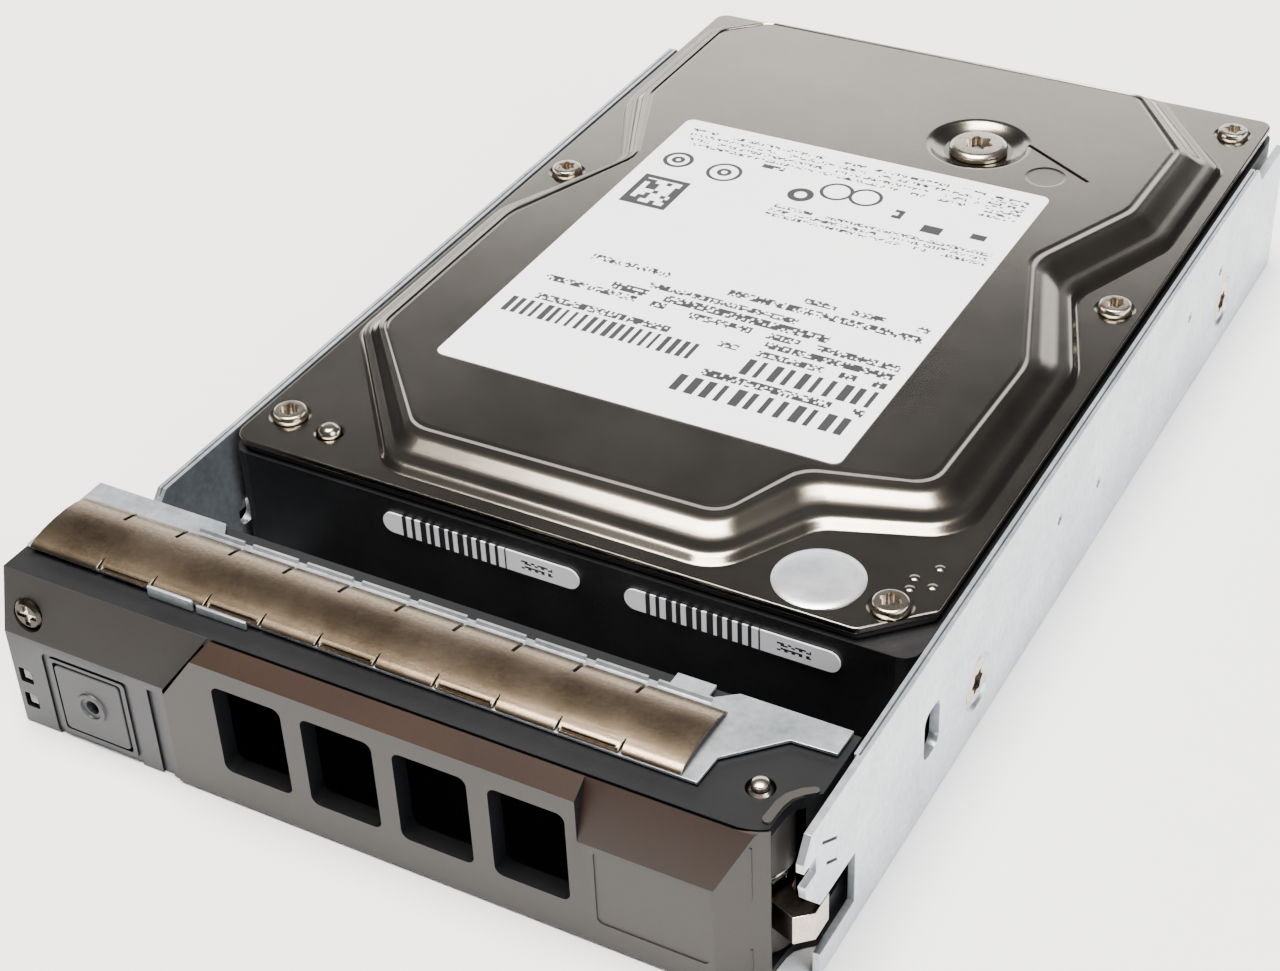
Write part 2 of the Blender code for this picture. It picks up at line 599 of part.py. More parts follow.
def release_button():
    x0, x1, z0, z1 = BUTTON
    button = piece(
        "release_button",
        block(x0 + GAP, x1 - GAP, BLOCK_FRONT + 0.3, -28.4, z0 + GAP, z1 - GAP),
        "dark_plastic",
        "release_button",
    )
    add(button, block(x0 - 1.5, x1 + 1.5, -29.4, -28.4, z0 + GAP, z1 + 1.5))
    centre = ((x0 + x1) / 2, (z0 + z1) / 2)
    coil("button_spring", centre, 2.2, 0.5, -28, -17.8, 6, "y", "steel")


def light_pipes():
    for name, z in zip(("light_pipe_upper", "light_pipe_lower"), LIGHTS_Z):
        left, right = LIGHTS_X - 0.7, LIGHTS_X + 0.7
        plan = [(left, -37.4), (right, -37.4), (right, -13.4), (-3.6, -6), (-3.6, 140), (-5, 140), (-5, -5.4)]
        piece(name, prism(plan + [(left, -12.8)], z - 0.8, z + 0.8), "clear_plastic")
    upper, lower = LIGHTS_Z
    holder = piece("light_pipe_holder", block(-3, -2.4, -4, 140, lower - 2, upper + 1.9), "black_plastic")
    for y in (4, 48, 92, 134):
        for low, high in ((upper + 1.1, upper + 1.7), (lower + 1.1, upper - 1.1), (lower - 1.7, lower - 1.1)):
            add(holder, block(-5.2, -2.6, y, y + 5, low, high))


def front_shield():
    outline = [
        (TRAY_LEFT + 0.4, -30.9), (88.7, -31.4), (88.9, -26.7), (95, -20.5), (100.8, -20.2), (100.9, -15.9),
        (86.3, -15.9), (83.5, -18.4), (13, -18.4), (11.5, -15.9), (TRAY_LEFT + 0.4, -15.9),
    ]  # fmt: skip
    piece("front_shield", prism(outline, BODY_TOP + GAP, -0.3), "zinc")


GASKET_LEFT = -8.3
GASKET_FINGERS = 11
GASKET_PITCH = 8.43


def emi_gasket():
    """A strip of arched spring fingers that grounds the tray to the bay."""
    crown = [(-31.3, 0), (-30.4, 0.45), (-28.6, 0.9), (-26, 1.15), (-23.4, 1.05), (-21.2, 0.6), (-19.6, 0)]
    under = [(y, z - 0.35) for y, z in crown[-2:0:-1]]
    profile = [*crown, *under]
    right = GASKET_LEFT + GASKET_FINGERS * GASKET_PITCH
    gasket = piece("emi_gasket", prism(profile, GASKET_LEFT, right, "x"), "spring_steel")
    for k in range(1, GASKET_FINGERS):
        x = GASKET_LEFT + k * GASKET_PITCH
        cut(gasket, block(x - 0.3, x + 0.3, -29.8, -19, -1, 3))


def clear_scene():
    for obj in list(bpy.data.objects):
        bpy.data.objects.remove(obj)


def main():
    clear_scene()
    material("black_casting", (0.02, 0.02, 0.022), 0.45, 0.2)
    material("satin_steel", (0.45, 0.43, 0.4), 0.3, 1)
    material("zinc", (0.62, 0.65, 0.68), 0.4, 1)
    material("steel", (0.6, 0.58, 0.55), 0.25, 1)
    material("spring_steel", (0.55, 0.48, 0.4), 0.25, 1)
    material("aluminium", (0.7, 0.7, 0.7), 0.3, 1)
    material("mirror", (0.85, 0.85, 0.85), 0.05, 1)
    material("magnet", (0.25, 0.25, 0.26), 0.4, 1)
    material("copper", (0.7, 0.35, 0.2), 0.35, 1)
    material("black_plastic", (0.015, 0.015, 0.016), 0.5, 0)
    material("dark_plastic", (0.08, 0.08, 0.085), 0.5, 0)
    material("grey_plastic", (0.2, 0.18, 0.16), 0.45, 0)
    material("white_plastic", (0.8, 0.8, 0.78), 0.5, 0)
    material("clear_plastic", (0.8, 0.85, 0.85), 0.1, 0)
    material("gasket_rubber", (0.01, 0.01, 0.01), 0.8, 0)
    material("foam", (0.05, 0.05, 0.05), 0.95, 0)
    material("label_paper", (0.88, 0.88, 0.9), 0.5, 0)
    material("foil", (0.7, 0.72, 0.74), 0.35, 1)
    material("board_green", (0.02, 0.12, 0.06), 0.5, 0)
    body("frame", 0, 0, 0)
    body("handle", *HANDLE_PIN, -13)
    body("release_button", (BUTTON[0] + BUTTON[1]) / 2, -33, (BUTTON[2] + BUTTON[3]) / 2)
    body("disc_pack", *SPINDLE, -10)
    body("head_stack", *PIVOT, -10)
    base_casting()
    top_cover()
    cover_gasket()
    cover_screws()
    labels()
    electronics()
    disc_pack()
    motor()
    head_stack()
    voice_coil_motor()
    small_inner_parts()
    right_rail()
    left_rail()
    rear_strap()
    mount_screws()
    bezel_body()
    bezel_screw()
    handle()
    release_button()
    light_pipes()
    front_shield()
    emi_gasket()


main()
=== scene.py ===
"""The looks of a 3.5 inch server hard disk drive in its hot-swap tray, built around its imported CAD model."""

import json
import math

import bmesh
import bpy
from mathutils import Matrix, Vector


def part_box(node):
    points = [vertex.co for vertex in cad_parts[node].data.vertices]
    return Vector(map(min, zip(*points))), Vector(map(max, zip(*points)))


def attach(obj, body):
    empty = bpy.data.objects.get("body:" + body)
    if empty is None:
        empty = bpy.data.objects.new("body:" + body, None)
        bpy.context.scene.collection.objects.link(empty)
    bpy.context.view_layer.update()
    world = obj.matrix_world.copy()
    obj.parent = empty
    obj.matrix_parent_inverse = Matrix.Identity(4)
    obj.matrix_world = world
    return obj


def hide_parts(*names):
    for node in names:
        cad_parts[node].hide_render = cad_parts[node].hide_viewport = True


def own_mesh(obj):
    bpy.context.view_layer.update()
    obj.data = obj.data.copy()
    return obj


bl_info = {
    "name": "Server hard disk drive",
    "version": (1, 0, 0),
    "blender": (4, 5, 0),
    "location": "View3D > Sidebar > Drive",
    "description": "Builds the visible surfaces of a hard disk drive in its hot-swap tray",
    "category": "Add Mesh",
}

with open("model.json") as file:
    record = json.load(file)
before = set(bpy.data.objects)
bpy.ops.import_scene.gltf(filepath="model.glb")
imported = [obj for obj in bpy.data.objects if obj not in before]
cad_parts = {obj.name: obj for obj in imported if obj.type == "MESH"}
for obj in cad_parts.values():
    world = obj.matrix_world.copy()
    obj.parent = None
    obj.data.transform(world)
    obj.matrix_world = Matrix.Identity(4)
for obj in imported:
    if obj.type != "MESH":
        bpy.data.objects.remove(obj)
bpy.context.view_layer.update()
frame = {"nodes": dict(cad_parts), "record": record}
nodes = frame["nodes"]

MM = 0.001
DRIVE_HEIGHT_TO_FLANGE = 23.9
casting_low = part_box("base_casting")[0]
CORNER = Vector((casting_low[0], casting_low[1], casting_low[2] + DRIVE_HEIGHT_TO_FLANGE * MM))

AXES = {
    "x": lambda a, b, height: (height, a, b),
    "y": lambda a, b, height: (a, height, b),
    "z": lambda a, b, height: (a, b, height),
}


def at(x, y, z):
    """The point in metres, from millimetres measured from the cover's front left corner."""
    return CORNER + Vector((x, y, z)) * MM


# Outlines, in millimetres


def arc(centre, radius, start, end, steps):
    angles = [math.radians(start + (end - start) * k / steps) for k in range(steps + 1)]
    return [(centre[0] + radius * math.cos(a), centre[1] + radius * math.sin(a)) for a in angles]


def circle(a, b, radius, sides=32):
    return arc((a, b), radius, 0, 360, sides)[:-1]


def rectangle(x0, x1, y0, y1):
    return [(x0, y0), (x1, y0), (x1, y1), (x0, y1)]


def rounded(corners, steps=6):
    """A closed outline through corners (x, y, radius), each turned by an arc."""
    outline = []
    for i, (x, y, radius) in enumerate(corners):
        here = Vector((x, y))
        to_last = (Vector(corners[i - 1][:2]) - here).normalized()
        to_next = (Vector(corners[(i + 1) % len(corners)][:2]) - here).normalized()
        half = to_last.angle(to_next) / 2
        centre = here + (to_last + to_next).normalized() * (radius / math.sin(half))
        reach = radius / math.tan(half)
        start = here + to_last * reach - centre
        turn = start.angle_signed(here + to_next * reach - centre)
        for k in range(steps + 1):
            angle = math.atan2(start.y, start.x) - turn * k / steps
            outline.append((centre.x + radius * math.cos(angle), centre.y + radius * math.sin(angle)))
    return outline


def rounded_box(x0, x1, y0, y1, radius, steps=6):
    return rounded([(x, y, radius) for x, y in rectangle(x0, x1, y0, y1)], steps)


def lobed(a, b, outer, inner, lobes=6):
    """The outline of a star-shaped screwdriver socket."""
    points = []
    for k in range(lobes * 6):
        swell = (1 + math.cos(2 * math.pi * k / 6)) / 2
        radius = inner + (outer - inner) * swell
        angle = 2 * math.pi * k / (lobes * 6)
        points.append((a + radius * math.cos(angle), b + radius * math.sin(angle)))
    return points


# Modelling


def deselect():
    bpy.ops.object.select_all(action="DESELECT")


def select(*objects):
    deselect()
    for obj in objects:
        obj.select_set(True)
    bpy.context.view_layer.objects.active = objects[0]


def loft(rings, axis="z"):
    """A closed solid through (outline, height) rings: a flat shape extruded from ring to ring."""
    deselect()
    first, height = rings[0]
    bpy.ops.mesh.primitive_circle_add(vertices=len(first), radius=MM, fill_type="NGON")
    obj = bpy.context.object
    for vertex, (a, b) in zip(obj.data.vertices, first):
        vertex.co = at(*AXES[axis](a, b, height))
    bpy.ops.object.mode_set(mode="EDIT")
    bpy.ops.mesh.select_all(action="SELECT")
    order = {i: i for i in range(len(first))}
    for outline, height in rings[1:]:
        bpy.ops.mesh.extrude_region_move()
        mesh = bmesh.from_edit_mesh(obj.data)
        mesh.verts.index_update()
        top = [v for v in mesh.verts if v.select]
        moved = {}
        for vertex in top:
            foot = next(e.other_vert(vertex) for e in vertex.link_edges if not e.other_vert(vertex).select)
            moved[vertex.index] = order[foot.index]
            vertex.co = at(*AXES[axis](*outline[moved[vertex.index]], height))
        order = moved
        bmesh.update_edit_mesh(obj.data)
    bpy.ops.mesh.select_all(action="SELECT")
    bpy.ops.mesh.normals_make_consistent(inside=False)
    bpy.ops.object.mode_set(mode="OBJECT")
    return obj


def prism(outline, low, high, axis="z"):
    return loft([(outline, low), (outline, high)], axis)


def block(x0, x1, y0, y1, z0, z1):
    return prism(rectangle(x0, x1, y0, y1), z0, z1)


def turned(a, b, profile, axis="z", sides=32):
    """A solid of rings of the given (radius, height) profile, closed flat at both ends."""
    return loft([(circle(a, b, radius, sides), height) for radius, height in profile], axis)


def apply_all(obj):
    select(obj)
    for modifier in list(obj.modifiers):
        bpy.ops.object.modifier_apply(modifier=modifier.name)


def combine(obj, others, operation):
    for other in others:
        modifier = obj.modifiers.new("Combine", "BOOLEAN")
        modifier.operation = operation
        modifier.object = other
        apply_all(obj)
        bpy.data.objects.remove(other)
    return obj


def carve(obj, *others):
    return combine(obj, others, "DIFFERENCE")


def weld(obj, *others):
    return combine(obj, others, "UNION")


def join(first, *others):
    """Makes loose shells one object."""
    select(first, *others)
    bpy.ops.object.join()
    return first


def soften(obj, width, segments=2, angle=30):
    """Rounds the edges that are sharper than the angle."""
    modifier = obj.modifiers.new("Soften", "BEVEL")
    modifier.width = width * MM
    modifier.segments = segments
    modifier.limit_method = "ANGLE"
    modifier.angle_limit = math.radians(angle)
    modifier.use_clamp_overlap = True
    apply_all(obj)
    return obj


SMOOTH_ANGLE = 35


def finish(obj, name, material, body, stands_for):
    """Names, shades and hands over a finished piece."""
    obj.name = name
    select(obj)
    bpy.ops.object.shade_smooth_by_angle(angle=math.radians(SMOOTH_ANGLE))
    modifier = obj.modifiers.new("Flat faces", "WEIGHTED_NORMAL")
    modifier.keep_sharp = True
    apply_all(obj)
    obj.data.materials.clear()
    obj.data.materials.append(materials[material])
    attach(obj, body)
    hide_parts(*stands_for)


def repaint(obj, material, test):
    """Gives a second material to the faces whose centre, in millimetres from the corner, passes the test."""
    obj.data.materials.append(materials[material])
    last = len(obj.data.materials) - 1
    for face in obj.data.polygons:
        if test((face.center - CORNER) / MM, face.normal):
            face.material_index = last


# Shader groups

groups = {}
materials = {}


class Graph:
    """A small helper that adds nodes to a node tree and links their inputs."""

    def __init__(self, tree):
        self.tree = tree

    def add(self, kind, inputs=None, **settings):
        node = self.tree.nodes.new(kind)
        for key, value in settings.items():
            setattr(node, key, value)
        for key, value in (inputs or {}).items():
            self.put(node.inputs[key], value)
        return node

    def put(self, socket, value):
        if isinstance(value, bpy.types.NodeSocket):
            self.tree.links.new(value, socket)
        else:
            socket.default_value = value

    def math(self, operation, *values):
        node = self.add("ShaderNodeMath", operation=operation)
        for socket, value in zip(node.inputs, values):
            self.put(socket, value)
        return node.outputs[0]

    def mix(self, factor, a, b):
        node = self.add("ShaderNodeMix", data_type="RGBA")
        self.put(node.inputs[0], factor)
        self.put(node.inputs[6], a)
        self.put(node.inputs[7], b)
        return node.outputs[2]


def new_group(name, inputs, outputs):
    """A shader node group: inputs are (name, socket type, default), outputs are (name, socket type)."""
    tree = bpy.data.node_groups.new(name, "ShaderNodeTree")
    for label, kind, default in inputs:
        socket = tree.interface.new_socket(label, in_out="INPUT", socket_type=kind)
        if default is not None:
            socket.default_value = default
    for label, kind in outputs:
        tree.interface.new_socket(label, in_out="OUTPUT", socket_type=kind)
    graph = Graph(tree)
    groups[name] = tree
    return graph, graph.add("NodeGroupInput").outputs, graph.add("NodeGroupOutput")


FLOAT = "NodeSocketFloat"
VECTOR = "NodeSocketVector"


def grain_group():
    """Fine grain and slow patches, which vary colour, roughness and bump on every finish."""
    graph, given, out = new_group(
        "surface_grain",
        [("Vector", VECTOR, None), ("Grain Scale", FLOAT, 2500.0), ("Patch Scale", FLOAT, 40.0)],
        [("Grain", FLOAT), ("Patches", FLOAT)],
    )
    fine = graph.add(
        "ShaderNodeTexNoise",
        {"Vector": given["Vector"], "Scale": given["Grain Scale"], "Detail": 2.0, "Roughness": 0.6},
    )
    slow = graph.add(
        "ShaderNodeTexNoise",
        {"Vector": given["Vector"], "Scale": given["Patch Scale"], "Detail": 4.0, "Roughness": 0.65},
    )
    graph.put(out.inputs["Grain"], fine.outputs["Fac"])
    graph.put(out.inputs["Patches"], slow.outputs["Fac"])


def brushed_group():
    """Long thin streaks along X, as rolled or brushed sheet has."""
    graph, given, out = new_group(
        "rolled_streaks",
        [("Vector", VECTOR, None), ("Stretch", VECTOR, (30.0, 2500.0, 2500.0))],
        [("Streaks", FLOAT)],
    )
    mapping = graph.add("ShaderNodeMapping", {"Vector": given["Vector"], "Scale": given["Stretch"]})
    noise = graph.add(
        "ShaderNodeTexNoise", {"Vector": mapping.outputs[0], "Scale": 1.0, "Detail": 2.0, "Roughness": 0.7}
    )
    graph.put(out.inputs["Streaks"], noise.outputs["Fac"])


ROW_SEED = 3.7
WORD_COLUMNS = 7.0
THINNEST_BAR = 0.34
BAR_SPREAD = 0.34


def print_group():
    """A mask of small printed marks inside a box: rows of character-like blots, or bars where Bars is 1."""
    graph, given, out = new_group(
        "printed_block",
        [
            ("Vector", VECTOR, None),
            ("Low", VECTOR, (0, 0, 0)),
            ("High", VECTOR, (1, 1, 1)),
            ("Cell", VECTOR, (1, 1, 1)),
            ("Row Fill", FLOAT, 0.6),
            ("Ink", FLOAT, 0.5),
            ("Words", FLOAT, 0.3),
            ("Bars", FLOAT, 0.0),
        ],
        [("Mask", FLOAT)],
    )
    place = graph.add("ShaderNodeSeparateXYZ", {"Vector": given["Vector"]}).outputs
    low = graph.add("ShaderNodeSeparateXYZ", {"Vector": given["Low"]}).outputs
    high = graph.add("ShaderNodeSeparateXYZ", {"Vector": given["High"]}).outputs
    cell = graph.add("ShaderNodeSeparateXYZ", {"Vector": given["Cell"]}).outputs
    inside = graph.math("GREATER_THAN", place[0], low[0])
    for test in (
        graph.math("LESS_THAN", place[0], high[0]),
        graph.math("GREATER_THAN", place[1], low[1]),
        graph.math("LESS_THAN", place[1], high[1]),
    ):
        inside = graph.math("MULTIPLY", inside, test)
    along = graph.math("DIVIDE", graph.math("SUBTRACT", place[0], low[0]), cell[0])
    across = graph.math("DIVIDE", graph.math("SUBTRACT", place[1], low[1]), cell[1])
    row = graph.math("ADD", graph.math("FLOOR", across), graph.math("MULTIPLY", low[1], ROW_SEED))
    column = graph.math("FLOOR", along)
    in_row = graph.math("LESS_THAN", graph.math("FRACT", across), given["Row Fill"])
    stroke = graph.math("FLOOR", graph.math("MULTIPLY", graph.math("FRACT", across), cell[2]))
    where = graph.add("ShaderNodeCombineXYZ")
    graph.put(where.inputs[0], column)
    graph.put(where.inputs[1], row)
    graph.put(where.inputs[2], stroke)
    blots = graph.add("ShaderNodeTexWhiteNoise", {"Vector": where.outputs[0]})
    inked = graph.math("LESS_THAN", blots.outputs[0], given["Ink"])
    word = graph.add("ShaderNodeCombineXYZ")
    graph.put(word.inputs[0], graph.math("FLOOR", graph.math("DIVIDE", column, WORD_COLUMNS)))
    graph.put(word.inputs[1], row)
    spaces = graph.add("ShaderNodeTexWhiteNoise", {"Vector": word.outputs[0]})
    worded = graph.math("GREATER_THAN", spaces.outputs[0], given["Words"])
    width = graph.math("MULTIPLY_ADD", blots.outputs[0], BAR_SPREAD, THINNEST_BAR)
    bars = graph.math("LESS_THAN", graph.math("FRACT", along), width)
    text = graph.math("MULTIPLY", inked, worded)
    chosen = graph.add("ShaderNodeMix", {0: given["Bars"], 2: text, 3: bars}, data_type="FLOAT").outputs[0]
    mask = graph.math("MULTIPLY", graph.math("MULTIPLY", inside, in_row), chosen)
    graph.put(out.inputs["Mask"], mask)


def ring_group():
    """A mask of a printed ring."""
    graph, given, out = new_group(
        "printed_ring",
        [("Vector", VECTOR, None), ("Centre", VECTOR, (0, 0, 0)), ("Outer", FLOAT, 1.0), ("Inner", FLOAT, 0.5)],
        [("Mask", FLOAT)],
    )
    away = graph.add("ShaderNodeVectorMath", {0: given["Vector"], 1: given["Centre"]}, operation="DISTANCE")
    radius = away.outputs["Value"]
    mask = graph.math(
        "MULTIPLY",
        graph.math("LESS_THAN", radius, given["Outer"]),
        graph.math("GREATER_THAN", radius, given["Inner"]),
    )
    graph.put(out.inputs["Mask"], mask)


def use_group(graph, name, inputs):
    node = graph.add("ShaderNodeGroup", node_tree=groups[name])
    for key, value in inputs.items():
        graph.put(node.inputs[key], value)
    return node.outputs


# Materials


def linear(hex_colour):
    """A #rrggbb colour as linear RGBA."""
    values = [int(hex_colour[i : i + 2], 16) / 255 for i in (1, 3, 5)]
    return tuple(v / 12.92 if v <= 0.04045 else ((v + 0.055) / 1.055) ** 2.4 for v in values) + (1,)


def finish_material(
    name,
    light,
    dark,
    roughness,
    metallic,
    grain=2500.0,
    patch=40.0,
    bump=0.05,
    rough_spread=0.1,
    streaks=0.0,
    specular=0.5,
):
    """A finish whose colour, roughness and bump vary with grain, patches and streaks."""
    made = bpy.data.materials.new(name)
    made.use_nodes = True
    graph = Graph(made.node_tree)
    shader = made.node_tree.nodes["Principled BSDF"]
    place = graph.add("ShaderNodeTexCoord").outputs["Object"]
    grains = use_group(graph, "surface_grain", {"Vector": place, "Grain Scale": grain, "Patch Scale": patch})
    streaked = use_group(graph, "rolled_streaks", {"Vector": place})["Streaks"]
    fine = graph.math("MULTIPLY", grains["Grain"], 0.4)
    slow = graph.math("MULTIPLY", grains["Patches"], 0.6)
    shade = graph.math("ADD", fine, slow)
    shade = graph.add("ShaderNodeMapRange", {"Value": shade, "From Min": 0.3, "From Max": 0.7}).outputs[0]
    colour = graph.mix(shade, dark, light)
    graph.put(shader.inputs["Base Color"], colour)
    height = graph.math("ADD", grains["Grain"], graph.math("MULTIPLY", streaked, streaks))
    rough = graph.add(
        "ShaderNodeMapRange",
        {"Value": grains["Patches"], "To Min": roughness - rough_spread, "To Max": roughness + rough_spread},
    )
    graph.put(shader.inputs["Roughness"], rough.outputs[0])
    shader.inputs["Metallic"].default_value = metallic
    shader.inputs["Specular IOR Level"].default_value = specular
    relief = graph.add("ShaderNodeBump", {"Height": height, "Strength": bump, "Distance": 0.0002})
    graph.put(shader.inputs["Normal"], relief.outputs[0])
    materials[name] = made
    return graph, shader, colour


def paper_material(name, colour, centre, blocks, rings, upright=False):
    """White label stock with printed blocks and rings, placed in millimetres from its middle."""
    graph, shader, paper = finish_material(name, colour, linear("#f0f1f6"), 0.42, 0.0, 4000.0, 60.0, 0.02, 0.05)
    place = graph.add("ShaderNodeTexCoord").outputs["Object"]
    middle = graph.add("ShaderNodeVectorMath", {0: place, 1: at(*centre)}, operation="SUBTRACT").outputs[0]
    in_mm = graph.add("ShaderNodeVectorMath", {0: middle, "Scale": 1000.0}, operation="SCALE").outputs[0]
    parts = graph.add("ShaderNodeSeparateXYZ", {"Vector": in_mm}).outputs
    flat = graph.add("ShaderNodeCombineXYZ")
    graph.put(flat.inputs[0], parts[0])
    graph.put(flat.inputs[1], parts[2 if upright else 1])
    ink = None
    for low, high, cell, fill, amount, words in blocks:
        given = {"Vector": flat.outputs[0], "Low": (*low, 0), "High": (*high, 0), "Cell": cell}
        given.update({"Row Fill": fill, "Ink": amount, "Words": max(words, 0.0), "Bars": float(words < 0)})
        mask = use_group(graph, "printed_block", given)["Mask"]
        ink = mask if ink is None else graph.math("MAXIMUM", ink, mask)
    for spot, outer, inner in rings:
        given = {"Vector": flat.outputs[0], "Centre": (*spot, 0), "Outer": outer, "Inner": inner}
        ink = graph.math("MAXIMUM", ink, use_group(graph, "printed_ring", given)["Mask"])
    printed = graph.mix(ink, paper, linear("#1c1c20"))
    graph.put(shader.inputs["Base Color"], printed)


LABEL = (16.2, 79.0, 27.0, 104.5)
LABEL_MIDDLE = (47.6, 65.75, 0)


def label_blocks():
    """Printed blocks of the big label: (low corner, high corner, cell, row fill, ink, share of gaps).

    A share of gaps under zero prints bars instead of text. A cell of 50 mm is longer than any block, so it fills it.
    """
    rows = [
        ((-29, 30.7), (22, 36.7), (0.32, 1.5, 4.0), 0.6, 0.36, 0.15),
        ((23.1, 29.2), (29.1, 36.2), (0.45, 1.0, 3.0), 0.75, 0.45, 0.0),
        ((-6.4, 15.7), (29.6, 19.7), (0.32, 1.35, 4.0), 0.66, 0.45, 0.1),
        ((17.0, 21.0), (20.2, 23.2), (3.2, 2.2, 1.0), 1.0, 1.0, 0.0),
        ((24.6, 22.2), (27.0, 23.8), (2.4, 1.6, 1.0), 1.0, 1.0, 0.0),
        ((11.4, 23.0), (13.8, 25.6), (0.8, 0.9, 1.0), 1.0, 0.6, 0.0),
        ((-13.4, 28.9), (-9.6, 30.1), (0.5, 0.6, 1.0), 1.0, 0.8, 0.0),
        ((10.0, -4.8), (29.6, -3.4), (0.36, 1.4, 4.0), 1.0, 0.55, 0.1),
        ((-26.4, -7.0), (-10.9, -5.5), (0.34, 1.5, 4.0), 1.0, 0.45, 0.1),
        ((-0.9, -7.6), (29.6, -5.9), (0.36, 1.7, 4.0), 1.0, 0.6, 0.15),
        ((-12.4, -10.5), (11.6, -9.1), (0.36, 1.4, 4.0), 1.0, 0.6, 0.1),
        ((-17.4, -13.1), (17.6, -11.2), (0.42, 1.9, 4.0), 1.0, 0.75, 0.1),
        ((-27.4, -15.0), (-7.4, -13.5), (0.36, 1.5, 4.0), 1.0, 0.6, 0.15),
        ((-3.4, -15.5), (29.6, -13.9), (0.36, 1.6, 4.0), 1.0, 0.62, 0.15),
        ((10.0, -17.8), (29.6, -16.2), (0.36, 1.6, 4.0), 1.0, 0.66, 0.1),
        ((-26.0, -20.2), (-4.0, -18.6), (0.4, 1.6, 4.0), 1.0, 0.62, 0.15),
        ((4.0, -20.2), (7.0, -18.8), (0.4, 1.4, 4.0), 1.0, 0.6, 0.0),
        ((10.0, -20.2), (29.6, -18.7), (0.36, 1.5, 4.0), 1.0, 0.66, 0.3),
        ((-28.9, -25.0), (1.8, -20.9), (1.5, 50.0, 1.0), 1.0, 1.0, -1.0),
        ((9.8, -25.2), (29.4, -21.1), (2.1, 50.0, 1.0), 1.0, 1.0, -1.0),
        ((5.1, -27.7), (29.6, -26.0), (0.4, 1.7, 4.0), 1.0, 0.66, 0.15),
        ((2.8, -32.6), (29.3, -28.5), (2.25, 50.0, 1.0), 1.0, 1.0, -1.0),
        ((-27.9, 11.2), (-21.9, 18.5), (0.9, 1.0, 1.0), 1.0, 0.35, 0.0),
    ]
    x0, x1, y0, y1 = -28.9, -20.9, 10.2, 19.5
    border = [((x0, y0), (x1, y0 + 1)), ((x0, y1 - 1), (x1, y1))]
    border += [((x0, y0), (x0 + 1, y1)), ((x1 - 1, y0), (x1, y1))]
    rows += [(low, high, (50.0, 50.0, 1.0), 1.0, 1.0, 0.0) for low, high in border]
    rings = [
        ((-26.4, 25.5), 2.5, 1.8), ((-26.4, 25.5), 1.1, 0.4), ((-17.9, 24.9), 2.9, 2.3), ((-17.9, 24.9), 1.2, 0.5),
        ((-3.9, 23.5), 2.1, 1.0), ((0.8, 26.7), 2.7, 2.1), ((5.6, 26.9), 2.7, 2.1),
    ]  # fmt: skip
    return rows, rings


def pill_blocks():
    bars = [((-12.0, -5), (4.2, 5), (1.45, 50.0, 1.0), 1.0, 1.0, -1.0)]
    box = [((6.5, -0.7), (11.2, 0.7), (0.5, 0.8, 3.0), 0.7, 0.55, 0.0)]
    return bars + box


DULL = 0.25


